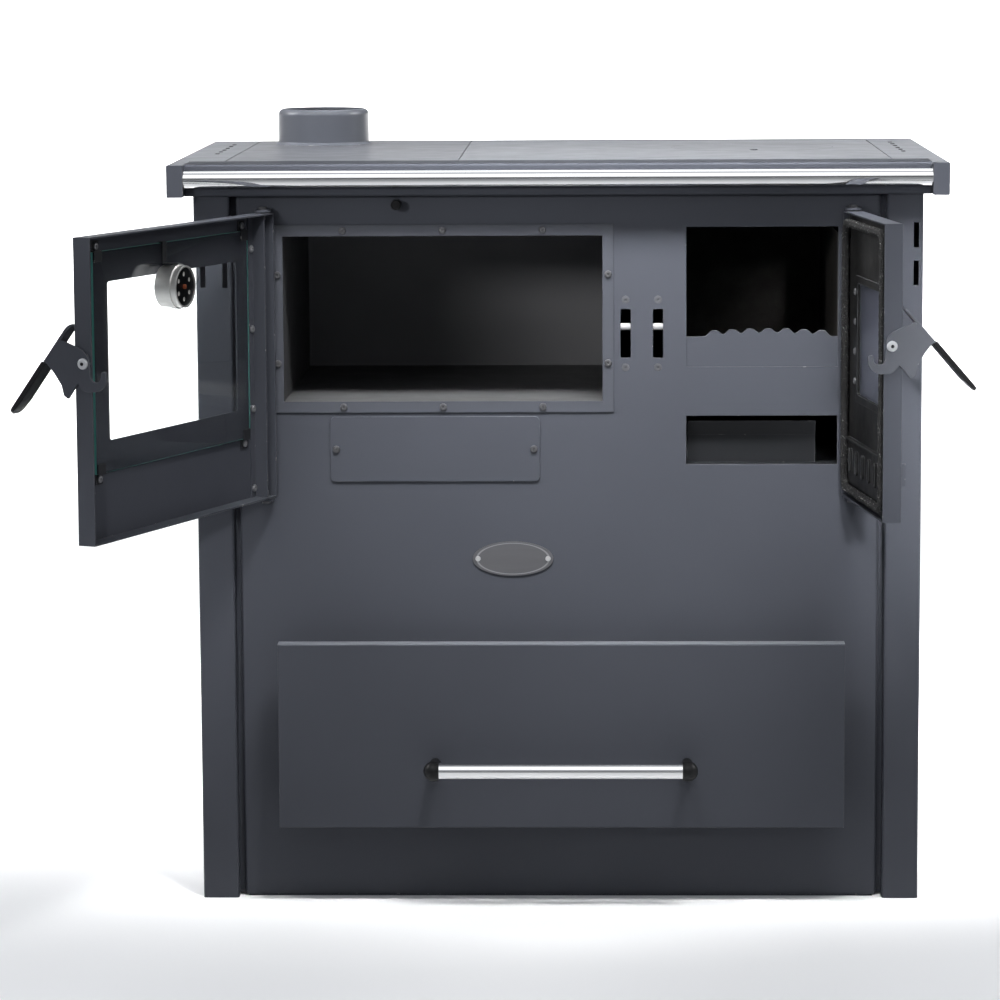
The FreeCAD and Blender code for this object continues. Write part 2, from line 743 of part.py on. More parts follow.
def flue_collar():
    """Drawn collar with a rolled-in shoulder, standing on a weld bead."""
    inner = FLUE_RADIUS - FLUE_WALL
    top = FLUE_HEIGHT
    bead = WELD_BEAD
    points = [(inner, 0), (FLUE_RADIUS + bead, 0), (FLUE_RADIUS, bead), (FLUE_RADIUS, top, FLUE_SHOULDER),
              (FLUE_RADIUS - FLUE_SHOULDER, top), (FLUE_RADIUS - FLUE_SHOULDER, top - FLUE_WALL),
              (inner, top - FLUE_WALL, FLUE_SHOULDER - FLUE_WALL)]
    section = Part.Face(outline(points, lambda a, b: V(flue_x + a, flue_y, rim_top + b)))
    return section.revolve(V(flue_x, flue_y, rim_top), UP, 360)


def damper_guides():
    z0 = hob_bottom - DAMPER_HANG - DAMPER_THICKNESS - SLIDE_GAP - SHEET
    y0 = flue_y - FLUE_HOLE - DAMPER_TRAVEL
    y1 = y_smoke_back - SMOKE_PLATE
    half = FLUE_HOLE + DAMPER_MARGIN + SLIDE_GAP
    guides = []
    for side in (-1, 1):
        lip = flue_x + side * (half - GUIDE_LIP)
        near = flue_x + side * half
        far = near + side * SHEET
        points = [(lip, z0), (far, z0), (far, hob_bottom), (near, hob_bottom), (near, z0 + SHEET),
                  (lip, z0 + SHEET)]
        guides.append(prism(points, upright(y0), BACK * (y1 - y0)))
    return guides


def damper_slide():
    """Throttle plate under the flue, with the arm and the pull rod welded to it."""
    z1 = hob_bottom - DAMPER_HANG
    z0 = z1 - DAMPER_THICKNESS
    half = FLUE_HOLE + DAMPER_MARGIN
    y1 = y_smoke_back - SMOKE_PLATE - SLIDE_GAP
    y0 = y1 - DAMPER_DEPTH
    plate = block(flue_x - half, flue_x + half, y0, y1, z0, z1)
    plate = plate.cut(round_bar(V(flue_x, flue_y, z0), UP, DAMPER_VENT, DAMPER_THICKNESS))
    arm = DAMPER_ARM / 2
    drop = block(flue_x - arm, flue_x + arm, y0, y0 + 2 * arm, damper_z - arm, z0)
    low, high = sorted((flue_x, damper_x))
    cross = block(low - arm, high + arm, y0, y0 + 2 * arm, damper_z - arm, damper_z + arm)
    y_end = y_panel - DAMPER_KNOB_LENGTH / 2
    rod = round_bar(V(damper_x, y_end, damper_z), BACK, DAMPER_ROD_RADIUS, y0 + arm - y_end)
    return plate.fuse(drop).fuse(cross).fuse(rod).removeSplitter()


def damper_knob():
    start = V(damper_x, y_panel - SHEET, damper_z)
    knob = round_bar(start, BACK * -1, DAMPER_KNOB_RADIUS, DAMPER_KNOB_LENGTH)
    end_y = start.y - DAMPER_KNOB_LENGTH
    end_edge = [e for e in knob.Edges if abs(e.CenterOfMass.y - end_y) < TINY]
    knob = knob.makeFillet(DAMPER_KNOB_RADIUS / 2, end_edge)
    socket = round_bar(start, BACK * -1, DAMPER_ROD_RADIUS, DAMPER_KNOB_LENGTH / 2 - SHEET)
    return knob.cut(socket)


def oven_liner():
    t = LINER_SHEET
    y1 = y_panel + OVEN_DEPTH
    box = block(oven_left - t, oven_right + t, y_panel, y1 + t, oven_floor - t, oven_top + t)
    flange = block(oven_left - OVEN_FLANGE, oven_right + OVEN_FLANGE, y_panel - t, y_panel,
                   oven_floor - OVEN_FLANGE, oven_top + OVEN_FLANGE)
    cavity = block(oven_left, oven_right, y_panel - 2 * t, y1, oven_floor, oven_top)
    liner = box.fuse(flange).cut(cavity).removeSplitter()
    return drilled(liner, oven_screw_seats(), BACK * -1)


def smoke_box():
    """Floor, left wall, back wall and right rear wall of the smoke passage round the oven."""
    t = SMOKE_PLATE
    left = -x_panel + SHEET + BEND
    y1 = y_smoke_back
    floor = block(left, shell_left - t, y_inside, y1, smoke_floor - t, smoke_floor)
    left_wall = block(left, left + t, y_inside, y1, smoke_floor - t, hob_bottom)
    rear_wall = block(left, shell_left - t, y1 - t, y1, smoke_floor - t, hob_bottom)
    right_wall = block(shell_left - 2 * t, shell_left - t, shell_back, y1, smoke_floor - t, hob_bottom)
    return floor.fuse(left_wall).fuse(rear_wall).fuse(right_wall).removeSplitter()


def cleanout_cover():
    x1, z0 = cover_left + COVER_WIDTH, cover_top - COVER_HEIGHT
    points = rectangle(cover_left, x1, z0, cover_top, COVER_CORNER)
    cover = prism(points, upright(y_panel - SHEET), BACK * SHEET)
    return drilled(cover, cover_screw_seats(), BACK * -1)


def name_plate():
    oval = Part.Ellipse(V(0, 0, 0), NAME_WIDTH / 2, NAME_HEIGHT / 2).toShape()
    plate = Part.Face(Part.Wire([oval])).extrude(UP * NAME_THICKNESS)
    plate.rotate(V(0, 0, 0), RIGHT, 90)
    plate.translate(V(name_x, y_panel, name_z))
    return drilled(plate, rivet_seats(), BACK * -1)


def rivet(seat):
    head = Part.makeSphere(RIVET_RADIUS, seat).common(
        block(seat.x - RIVET_RADIUS, seat.x + RIVET_RADIUS, seat.y - RIVET_HEIGHT, seat.y,
              seat.z - RIVET_RADIUS, seat.z + RIVET_RADIUS))
    return head.fuse(round_bar(seat, BACK, SCREW_RADIUS, NAME_THICKNESS + SHEET)).removeSplitter()


def latch_keeper():
    """Plate behind the front panel with three ears that carry the two latch rollers."""
    t = KEEPER_PLATE
    low, high = sorted(door.slot_x() for door in doors)
    half = SLOT_WIDTH / 2 + KEEPER_WINDOW_MARGIN
    reach = half + t + KEEPER_MARGIN
    z_half = KEEPER_SCREWS / 2 + SINK_RADIUS + KEEPER_MARGIN
    z_window = SLOT_HEIGHT / 2 + KEEPER_WINDOW_MARGIN
    keeper = block(low - reach, high + reach, y_inside, y_inside + t, slot_z - z_half, slot_z + z_half)
    for x in (low, high):
        keeper = keeper.cut(block(x - half, x + half, y_inside - t, y_inside + 2 * t,
                                  slot_z - z_window, slot_z + z_window))
    middle = (low + high) / 2
    for x in (low - half - t, middle - t / 2, high + half):
        keeper = keeper.fuse(block(x, x + t, y_inside, y_inside + KEEPER_REACH,
                                   roller_z - KEEPER_EAR_HEIGHT / 2, roller_z + KEEPER_EAR_HEIGHT / 2))
    bore = round_bar(V(low - THROUGH, roller_y, roller_z), RIGHT, ROLLER_RADIUS, high - low + 2 * THROUGH)
    keeper = keeper.cut(bore).removeSplitter()
    for seat in keeper_screw_seats():
        keeper = keeper.cut(screw_hole(seat, BACK))
    return keeper


def latch_rollers():
    low, high = sorted(door.slot_x() for door in doors)
    end = SLOT_WIDTH / 2 + KEEPER_WINDOW_MARGIN + KEEPER_PLATE
    middle = (low + high) / 2
    spans = [(low - end, middle), (middle, high + end)]
    return [round_bar(V(a, roller_y, roller_z), RIGHT, ROLLER_RADIUS, b - a) for a, b in spans]


def keeper_screw(seat):
    head = Part.makeCone(SINK_RADIUS, SCREW_RADIUS, SHEET, seat, BACK)
    head = head.cut(hex_bar(seat, BACK, SCREW_SOCKET, SCREW_SOCKET_DEPTH))
    shank = round_bar(seat + BACK * SHEET, BACK, SCREW_RADIUS, SCREW_LENGTH)
    return head.fuse(shank).removeSplitter()


def firebox_shell():
    """Open-topped steel shell with the ash floor and the ledge that carries lining and grate."""
    t = SMOKE_PLATE
    z0 = ash_sill - t
    left = block(shell_left - t, shell_left, y_inside, shell_back, z0, hob_bottom - SMOKE_PASS)
    right = block(shell_right, shell_right + t, y_inside, shell_back, z0, hob_bottom)
    rear = block(shell_left - t, shell_right + t, shell_back - t, shell_back, z0, hob_bottom)
    floor = block(shell_left - t, shell_right + t, y_inside, shell_back, z0, ash_sill)
    ledge = block(shell_left, shell_right, y_inside, shell_back - t, grate_top - GRATE_LEDGE, grate_top)
    mouth = grate_mouth()
    shell = left.fuse(right).fuse(rear).fuse(floor).fuse(ledge.cut(mouth))
    return shell.removeSplitter()


def grate_middle_y():
    return (y_inside + shell_back) / 2 - LINING


def grate_mouth():
    half_width = GRATE_WIDTH / 2 - GRATE_LAP
    half_length = GRATE_LENGTH / 2 - GRATE_LAP
    y = grate_middle_y()
    return block(fire_middle - half_width, fire_middle + half_width, y - half_length, y + half_length,
                 grate_top - 2 * GRATE_LEDGE, grate_top + GRATE_LEDGE)


def lining_plates():
    y0 = y_inside + GUARD_THICKNESS + LINING_FRONT_GAP
    y1 = shell_back - SMOKE_PLATE
    z1 = grate_top + LINING_HEIGHT
    return [block(shell_left, fire_left, y0, y1, grate_top, z1),
            block(fire_right, shell_right, y0, y1, grate_top, z1),
            block(fire_left, fire_right, y1 - LINING, y1, grate_top, z1)]


def fire_grate():
    y = grate_middle_y()
    half_width, half_length = GRATE_WIDTH / 2, GRATE_LENGTH / 2
    grate = block(fire_middle - half_width, fire_middle + half_width, y - half_length, y + half_length,
                  grate_top, grate_top + GRATE_THICKNESS)
    count = int((GRATE_LENGTH - 2 * GRATE_RIM) // GRATE_PITCH)
    slot_length = GRATE_WIDTH - 2 * GRATE_RIM
    for k in range(count):
        place = y + (k - (count - 1) / 2) * GRATE_PITCH
        slot = block(fire_middle - slot_length / 2, fire_middle + slot_length / 2,
                     place - GRATE_SLOT / 2, place + GRATE_SLOT / 2,
                     grate_top - GRATE_LEDGE, grate_top + 2 * GRATE_THICKNESS)
        grate = grate.cut(slot)
    return grate


def ember_guard():
    """Plate behind the lower edge of the fire opening, with round crests along an arched top."""
    z_flat = fire_sill + GUARD_RISE
    x_start = fire_left + GUARD_FIRST - GUARD_PITCH / 2
    top = []
    for k in range(GUARD_CRESTS + 1):
        for step in (0.0, 0.5):
            share = (k + step) / GUARD_CRESTS
            x = x_start + (k + step) * GUARD_PITCH
            z = z_flat + GUARD_ARCH * 4 * share * (1 - share)
            if step and k < GUARD_CRESTS:
                z += CREST_HEIGHT
                top += [(x - CREST_WIDTH / 2, z, CREST_ROUND), (x + CREST_WIDTH / 2, z, CREST_ROUND)]
            elif not step:
                top.append((x, z, CREST_ROUND))
    left = [(shell_left, grate_top), (shell_left, z_flat)]
    right = [(shell_right, z_flat), (shell_right, grate_top)]
    return prism(left + top + right, upright(y_inside), BACK * GUARD_THICKNESS)


def ash_pan():
    """Open sheet pan with a leaning pull lip along its front."""
    t = LINER_SHEET
    x0 = fire_left + ASH_PAN_SIDE
    x1 = x0 + ASH_PAN_WIDTH
    y0 = y_inside + ASH_PAN_SET_BACK
    y1 = y0 + ASH_PAN_LENGTH
    z0 = ash_sill + SLIDE_GAP
    z1 = z0 + ASH_PAN_WALL
    pan = block(x0, x1, y0, y1, z0, z1).cut(block(x0 + t, x1 - t, y0 + t, y1 - t, z0 + t, z1 + t))
    lip_y, lip_z = y0 - ASH_PAN_LEAN, z1 + ASH_PAN_LIP
    points = [(y0, z1), (y0 + t, z1), (lip_y + t, lip_z), (lip_y, lip_z)]
    lip = prism(points, sideways(x0), RIGHT * ASH_PAN_WIDTH)
    return pan.fuse(lip).removeSplitter()


def drawer_runners():
    box_bottom = PLINTH + DRAWER_BOX_RISE
    half = DRAWER_BOX_WIDTH / 2
    y1 = y_back - DRAWER_BACK_GAP
    z_ledge = box_bottom - SLIDE_GAP
    runners = []
    for side in (-1, 1):
        inner = DRAWER_OFFSET + side * (half - RUNNER_LEDGE)
        wall = DRAWER_OFFSET + side * (half + SHEET)
        outer = wall + side * SHEET
        low, high = sorted((wall, outer))
        web = block(low, high, y_inside, y1, SHEET, box_bottom + RUNNER_GUIDE)
        low, high = sorted((inner, outer))
        ledge = block(low, high, y_inside, y1, z_ledge - SHEET, z_ledge)
        runners.append(web.fuse(ledge).removeSplitter())
    return runners


def drawer_front():
    t = DRAWER_SHEET
    half = DRAWER_WIDTH / 2
    x0, x1 = DRAWER_OFFSET - half, DRAWER_OFFSET + half
    y1 = drawer_face + DRAWER_PAN
    pan = block(x0, x1, drawer_face, y1, PLINTH, drawer_top)
    pan = pan.makeFillet(DOOR_EDGE, [e for e in pan.Edges if abs(e.CenterOfMass.y - drawer_face) < TINY])
    return pan.cut(block(x0 + t, x1 - t, drawer_face + t, y1 + t, PLINTH + t, drawer_top - t))


def drawer_box():
    t = DRAWER_SHEET
    half = DRAWER_BOX_WIDTH / 2
    x0, x1 = DRAWER_OFFSET - half, DRAWER_OFFSET + half
    y0 = drawer_face + t
    y1 = y_back - DRAWER_BACK_GAP - DRAWER_AJAR
    z0 = PLINTH + DRAWER_BOX_RISE
    z1 = z0 + DRAWER_BOX_HEIGHT
    return block(x0, x1, y0, y1, z0, z1).cut(block(x0 + t, x1 - t, y0 + t, y1 - t, z0 + t, z1 + t))


def drawer_handle_bar():
    x0 = DRAWER_OFFSET - HANDLE_LENGTH / 2 - HANDLE_SOCKET
    start = V(x0, drawer_face - HANDLE_STAND, PLINTH + HANDLE_RISE)
    length = HANDLE_LENGTH + 2 * HANDLE_SOCKET
    bar = round_bar(start, RIGHT, HANDLE_RADIUS, length)
    return bar.cut(round_bar(start, RIGHT, HANDLE_RADIUS - HANDLE_WALL, length))


def drawer_handle_ends():
    """Ball ends with a foot each; the bar's ends sit in their sockets."""
    z = PLINTH + HANDLE_RISE
    y = drawer_face - HANDLE_STAND
    ends = []
    for side in (-1, 1):
        mouth = DRAWER_OFFSET + side * HANDLE_LENGTH / 2
        middle = V(mouth + side * HANDLE_SOCKET, y, z)
        ball = Part.makeSphere(BALL_RADIUS, middle)
        low, high = sorted((mouth, mouth + side * 2 * BALL_RADIUS))
        outside = block(low, high, y - BALL_RADIUS, y + BALL_RADIUS, z - BALL_RADIUS, z + BALL_RADIUS)
        foot = round_bar(middle, BACK, FOOT_RADIUS, HANDLE_STAND)
        bar_end = V(mouth - side * HANDLE_SOCKET, y, z)
        socket = round_bar(bar_end, RIGHT * side, HANDLE_RADIUS, 2 * HANDLE_SOCKET)
        ends.append(ball.common(outside).fuse(foot).cut(socket).removeSplitter())
    return ends


def hinge_ears():
    """The pair of ears above and below each door, welded to the front panel."""
    half = EAR_WIDTH / 2
    ears = []
    for door in doors:
        x = door.pin_x
        front = pin_y - half
        points = [(x - half, y_panel), (x - half, front, EAR_ROUND), (x + half, front, EAR_ROUND),
                  (x + half, y_panel)]
        for z in (door_bottom - EAR_GAP - EAR_THICKNESS, door_top + EAR_GAP):
            ear = prism(points, flat(z), UP * EAR_THICKNESS)
            ears.append(ear.cut(round_bar(V(x, pin_y, z), UP, PIN_RADIUS + PIN_PLAY / 2, EAR_THICKNESS)))
    return ears


def hinge_pins():
    reach = EAR_THICKNESS + EAR_GAP + DOOR_SHEET + PIN_REACH
    pins = []
    for door in doors:
        ear = EAR_GAP + EAR_THICKNESS
        for way, z in ((-1, door_top + ear), (1, door_bottom - ear)):
            seat = V(door.pin_x, pin_y, z)
            head = round_bar(seat, UP * -way, PIN_HEAD, PIN_RADIUS)
            pins.append(head.fuse(round_bar(seat, UP * way, PIN_RADIUS, reach)).removeSplitter())
    return pins


def door_pan(door, window, holes):
    """Folded door pan: window is (u, width, z, height), holes are cut through its outer sheet."""
    t = DOOR_SHEET
    pan = door.block(0, door.width, 0, DOOR_DEPTH, door_bottom, door_top)
    face_y = door.y(DOOR_DEPTH)
    pan = pan.makeFillet(DOOR_EDGE, [e for e in pan.Edges if abs(e.CenterOfMass.y - face_y) < TINY])
    pan = pan.cut(door.block(t, door.width - t, -t, DOOR_DEPTH - t, door_bottom + t, door_top - t))
    u, width, z, height = window
    low, high = sorted((door.x(u), door.x(u + width)))
    pane = prism(rectangle(low, high, z, z + height, WINDOW_CORNER), upright(face_y - t), BACK * (3 * t))
    pan = pan.cut(pane)
    pin = V(door.pin_x, pin_y, door_bottom - t)
    pan = pan.cut(round_bar(pin, UP, PIN_RADIUS + PIN_PLAY, door_height + 2 * t))
    latch = V(door.x(door.width - THROUGH / 2), door.y(LATCH_V), latch_z)
    pan = pan.cut(round_bar(latch, RIGHT * door.into, PIVOT_RADIUS + SCREW_PLAY, THROUGH))
    for hole in holes:
        pan = pan.cut(hole)
    return pan


oven_window = (OVEN_WINDOW_HINGE, oven_door_width - OVEN_WINDOW_HINGE - OVEN_WINDOW_FREE,
               door_bottom + OVEN_WINDOW_RISE, door_height - OVEN_WINDOW_RISE - OVEN_WINDOW_TOP)
fire_window = (FIRE_WINDOW_HINGE, fire_door_width - FIRE_WINDOW_HINGE - FIRE_WINDOW_FREE,
               door_bottom + FIRE_WINDOW_RISE, door_height - FIRE_WINDOW_RISE - FIRE_WINDOW_TOP)
glass_back = DOOR_DEPTH - DOOR_SHEET
glass_front = glass_back - GLASS
oven_glass = (OVEN_WINDOW_HINGE - OVEN_GLASS_HINGE_LAP,
              oven_door_width - OVEN_WINDOW_FREE + OVEN_GLASS_FREE_LAP,
              oven_window[2] - OVEN_GLASS_LAP,
              door_top - OVEN_WINDOW_TOP + OVEN_GLASS_LAP)
thermo_z = door_top - OVEN_WINDOW_TOP - THERMO_DROP


def strip_screw_places():
    step = (door_height - STRIP_SCREW_RISE - STRIP_SCREW_DROP) / (STRIP_SCREWS - 1)
    u = STRIP_UPRIGHT + STRIP_SCREW_INSET
    return [(u, door_bottom + STRIP_SCREW_RISE + k * step) for k in range(STRIP_SCREWS)]


def clip_places():
    """Foot middle, edge of the glass and the way from the foot to the glass, for each clip (u, z, way)."""
    u0, u1, z0, z1 = oven_glass
    return [(u, edge, way) for u in (u0 + CLIP_INSET, u1 - CLIP_INSET) for edge, way in ((z1, -1), (z0, 1))]


def clip_screw_places():
    return [(u, edge - way * CLIP_FOOT / 2) for u, edge, way in clip_places()]


def oven_door_screw_seats():
    strip = [V(oven_door.x(u), oven_door.y(glass_back - SHEET), z) for u, z in strip_screw_places()]
    clips = [V(oven_door.x(u), oven_door.y(glass_back - CLIP_SHEET), z) for u, z in clip_screw_places()]
    return strip + clips


def screw_bores(seats):
    return [screw_hole(seat, BACK) for seat in seats]


def oven_glass_pane():
    u0, u1, z0, z1 = oven_glass
    return oven_door.block(u0, u1, glass_front, glass_back, z0, z1)


def oven_clips():
    """Sheet clips: a foot on the door, a riser and a tab over the glass edge."""
    clips = []
    half = CLIP_WIDTH / 2
    t = CLIP_SHEET
    for u, edge, way in clip_places():
        near = edge - way * SLIDE_GAP
        foot = oven_door.block(u - half, u + half, glass_back - t, glass_back,
                               *sorted((edge - way * CLIP_FOOT, near)))
        riser = oven_door.block(u - half, u + half, glass_front - t, glass_back,
                                *sorted((near - way * t, near)))
        tab = oven_door.block(u - half, u + half, glass_front - t, glass_front,
                              *sorted((near - way * t, edge + way * CLIP_LAP)))
        clip = foot.fuse(riser).fuse(tab).removeSplitter()
        seat = V(oven_door.x(u), oven_door.y(glass_back - t), edge - way * CLIP_FOOT / 2)
        clips.append(clip.cut(screw_hole(seat, BACK)))
    return clips


def oven_door_strip():
    """Angle along the hinge side of the oven door."""
    z0, z1 = door_bottom + DOOR_SHEET, door_top - DOOR_SHEET
    base = oven_door.block(STRIP_UPRIGHT, STRIP_UPRIGHT + STRIP_BASE, glass_back - SHEET, glass_back, z0, z1)
    leg = oven_door.block(STRIP_UPRIGHT, STRIP_UPRIGHT + SHEET, STRIP_RIM_GAP, glass_back, z0, z1)
    strip = base.fuse(leg).removeSplitter()
    for u, z in strip_screw_places():
        strip = strip.cut(screw_hole(V(oven_door.x(u), oven_door.y(glass_back), z), BACK))
    return strip


def thermometer():
    """Round case on the inner side of the glass, with a stepped ring and a pierced back."""
    middle = V(oven_door.x(THERMO_U), oven_door.y(glass_front), thermo_z)
    front = round_bar(middle, BACK, THERMO_RADIUS - SHEET, THERMO_LENGTH - THERMO_RING)
    ring_start = middle + BACK * (THERMO_LENGTH - 2 * THERMO_RING)
    ring = round_bar(ring_start, BACK, THERMO_RADIUS, THERMO_RING)
    back = round_bar(middle, BACK, THERMO_BACK_RADIUS + SHEET, THERMO_LENGTH)
    recess_start = middle + BACK * (THERMO_LENGTH - SHEET)
    recess = round_bar(recess_start, BACK, THERMO_BACK_RADIUS, SHEET)
    case = front.fuse(ring).fuse(back).cut(recess)
    for k in range(THERMO_HOLES):
        angle = math.radians(90 + 360 * k / THERMO_HOLES)
        hole = recess_start + V(math.cos(angle), 0, math.sin(angle)) * THERMO_HOLE_RING - BACK * SHEET
        case = case.cut(round_bar(hole, BACK, THERMO_HOLE, 2 * SHEET))
    return case.fuse(round_bar(recess_start, BACK, THERMO_HOLE, SHEET)).removeSplitter()


def thermometer_hanger():
    """Strip hooked over the glass's top edge that carries the thermometer's ring."""
    half = HANGER_WIDTH / 2
    t = HANGER_SHEET
    z1 = oven_glass[3]
    v_ring = glass_front - THERMO_LENGTH + THERMO_RING
    top = thermo_z + THERMO_RADIUS
    drop = oven_door.block(THERMO_U - half, THERMO_U + half, glass_front - t, glass_front, top, z1 + t)
    hook = oven_door.block(THERMO_U - half, THERMO_U + half, glass_front - t, glass_back, z1, z1 + t)
    arm = oven_door.block(THERMO_U - half, THERMO_U + half, v_ring, glass_front, top, top + t)
    return drop.fuse(hook).fuse(arm).removeSplitter()


def strip_way():
    """Unit vectors of the lever strip in (v, z): along it towards the grip, and outward from the pivot."""
    tilt = math.radians(LEVER_TILT_ANGLE)
    return (math.sin(tilt), -math.cos(tilt)), (math.cos(tilt), math.sin(tilt))


def strip_block(door, along, thick, wide, start_round=0.0, end_round=0.0):
    """Bar along the lever strip between the pairs along (s), thick (n, outward) and wide (u)."""
    s0, s1 = along
    way, out = strip_way()
    origin = V(door.x(wide[0]), door.y(LATCH_V + out[0] * thick[0]), latch_z + out[1] * thick[0])
    s_axis = V(0, -way[0], way[1])
    u_axis = RIGHT * door.into
    width = wide[1] - wide[0]
    points = [(s0, 0, start_round), (s1, 0, end_round), (s1, width, end_round), (s0, width, start_round)]
    up = V(0, -out[0], out[1]) * (thick[1] - thick[0])
    return prism(points, lambda s, u: origin + s_axis * s + u_axis * u, up)


def lever_tongue(door, start):
    """The narrow end of the lever strip, inside the grip."""
    outer = door.width + LEVER_WASHER + LEVER_SHEET
    middle = outer - LEVER_STRIP_WIDTH / 2
    along = (start, LEVER_PLATE_END + LEVER_TONGUE)
    wide = (middle - TONGUE_WIDTH / 2, middle + TONGUE_WIDTH / 2)
    return strip_block(door, along, (LEVER_OFFSET, LEVER_OFFSET + LEVER_SHEET), wide)


def latch_lever(door):
    """Hook plate beside the door's free edge, with the lever strip folded from its outer edge."""
    place = lambda a, b: V(door.plate_x, door.y(LATCH_V + a), latch_z + b)
    plate = prism(LEVER_OUTLINE, place, RIGHT * (door.into * LEVER_SHEET))
    outer = door.width + LEVER_WASHER + LEVER_SHEET
    n0, n1 = LEVER_OFFSET, LEVER_OFFSET + LEVER_SHEET
    strip = strip_block(door, (-LEVER_TAB, LEVER_PLATE_END), (n0, n1), (outer - LEVER_STRIP_WIDTH, outer),
                        LEVER_TAB_CORNER)
    fold = strip_block(door, (0.0, LEVER_PLATE_END), (n0 - LEVER_SHEET, n1), (outer - LEVER_SHEET, outer))
    tongue = lever_tongue(door, LEVER_PLATE_END - LEVER_SHEET)
    lever = plate.fuse(strip).fuse(tongue).fuse(fold).removeSplitter()
    pivot = V(door.x(door.width - THROUGH / 2), door.y(LATCH_V), latch_z)
    return door.dropped(lever.cut(round_bar(pivot, RIGHT * door.into, PIVOT_RADIUS + PIN_PLAY, THROUGH)))


def latch_grip(door):
    """Flat sleeve on the lever's tongue, thinner and rounded at its tip."""
    middle = door.width + LEVER_WASHER + LEVER_SHEET - LEVER_STRIP_WIDTH / 2
    wide = (middle - GRIP_WIDTH / 2, middle + GRIP_WIDTH / 2)
    n0 = LEVER_OFFSET + (LEVER_SHEET - GRIP_THICKNESS) / 2
    n1 = n0 + GRIP_THICKNESS
    s0 = LEVER_PLATE_END + GRIP_GAP
    s1 = s0 + GRIP_LENGTH
    way, out = strip_way()
    origin = V(door.x(wide[0]), door.y(LATCH_V), latch_z)
    place = lambda s, n: origin + V(0, -(way[0] * s + out[0] * n), way[1] * s + out[1] * n)
    points = [(s0, n0, GRIP_EDGE), (s1 - GRIP_TAPER, n0), (s1, n1 - GRIP_TIP, GRIP_EDGE), (s1, n1, GRIP_EDGE),
              (s0, n1, GRIP_EDGE)]
    grip = prism(points, place, RIGHT * (door.into * GRIP_WIDTH))
    grip = grip.common(strip_block(door, (s0, s1), (n0, n1), wide, 0.0, GRIP_CORNER))
    return door.dropped(grip.cut(lever_tongue(door, LEVER_PLATE_END)))


def latch_pivot(door):
    """Pivot screw with its washer and nut."""
    way = RIGHT * door.into
    y = door.y(LATCH_V)
    face = V(door.x(door.width), y, latch_z)
    head_seat = face + way * (LEVER_WASHER + LEVER_SHEET + SCREW_PLAY)
    head = round_bar(head_seat, way, PIVOT_HEAD, PIVOT_HEAD_HEIGHT)
    rim = [e for e in head.Edges if abs((e.CenterOfMass - head_seat).dot(way) - PIVOT_HEAD_HEIGHT) < TINY]
    head = head.makeFillet(PIVOT_HEAD_ROUND, rim)
    socket_floor = head_seat + way * (PIVOT_HEAD_HEIGHT - PIVOT_SOCKET)
    head = head.cut(hex_bar(socket_floor, way, PIVOT_SOCKET, PIVOT_SOCKET))
    nut_seat = face - way * DOOR_SHEET
    tail = nut_seat - way * PIVOT_NUT_HEIGHT
    shank = round_bar(tail, way, PIVOT_RADIUS, (head_seat - tail).Length)
    washer = round_bar(face, way, PIVOT_WASHER, LEVER_WASHER - SCREW_PLAY)
    washer = washer.cut(round_bar(face, way, PIVOT_RADIUS + SCREW_PLAY, LEVER_WASHER))
    nut = hex_bar(tail, way, PIVOT_NUT, PIVOT_NUT_HEIGHT)
    nut = nut.cut(round_bar(tail, way, PIVOT_RADIUS + SCREW_PLAY, PIVOT_NUT_HEIGHT))
    return [head.fuse(shank).removeSplitter(), washer, nut]


def air_slot_places(shift):
    z = door_bottom + AIR_RISE
    return [(fire_door.x(AIR_FIRST + k * AIR_SLOT_PITCH + shift), z) for k in range(AIR_SLOTS)]


def air_slot_prisms(lap, v0, v1):
    """Round-ended bars through the air slots from v0 to v1, larger than the slots by lap all round."""
    half_width = AIR_SLOT_WIDTH / 2 + lap
    half_height = AIR_SLOT_HEIGHT / 2 + lap
    bars = []
    for x, z in air_slot_places(0.0):
        points = rectangle(x - half_width, x + half_width, z - half_height, z + half_height,
                           2 * half_width * SLOT_END)
        bars.append(prism(points, upright(fire_door.y(v1)), BACK * (v1 - v0)))
    return bars


def frame_screw_seats():
    u, width, z, height = fire_window
    top = z + height - FRAME_SCREW_DROP
    seats = []
    for place in (u - FRAME_SCREW_LAP, u + width + FRAME_SCREW_LAP):
        for k in range(FRAME_SCREWS):
            seats.append(V(fire_door.x(place), fire_door.y(FRAME_DEPTH), top - k * FRAME_SCREW_PITCH))
    return seats


def vent_field():
    """Raised field low on the fire door's tray, with a lip along its top and a collar round each air slot."""
    gap = ROPE_RADIUS + VENT_FIELD_GAP
    u0, u1 = ROPE_HINGE_INSET + gap, fire_door_width - ROPE_FREE_INSET - gap
    z0, z1 = door_bottom + ROPE_EDGE_INSET + gap, door_bottom + VENT_FIELD_RISE
    low, high = sorted((fire_door.x(u0), fire_door.x(u1)))
    bottom_round = ROPE_CORNER - gap
    points = [(low, z0, bottom_round), (high, z0, bottom_round), (high, z1), (low, z1)]
    field = prism(points, upright(fire_door.y(FRAME_DEPTH)), BACK * FRAME_SHEET)
    lip = fire_door.block(u0, u1, FRAME_DEPTH - VENT_FIELD_LIP, FRAME_DEPTH, z1 - FRAME_SHEET, z1)
    field = field.fuse(lip)
    for collar in air_slot_prisms(VENT_COLLAR_WALL, FRAME_DEPTH - VENT_COLLAR, FRAME_DEPTH):
        field = field.fuse(collar)
    return field


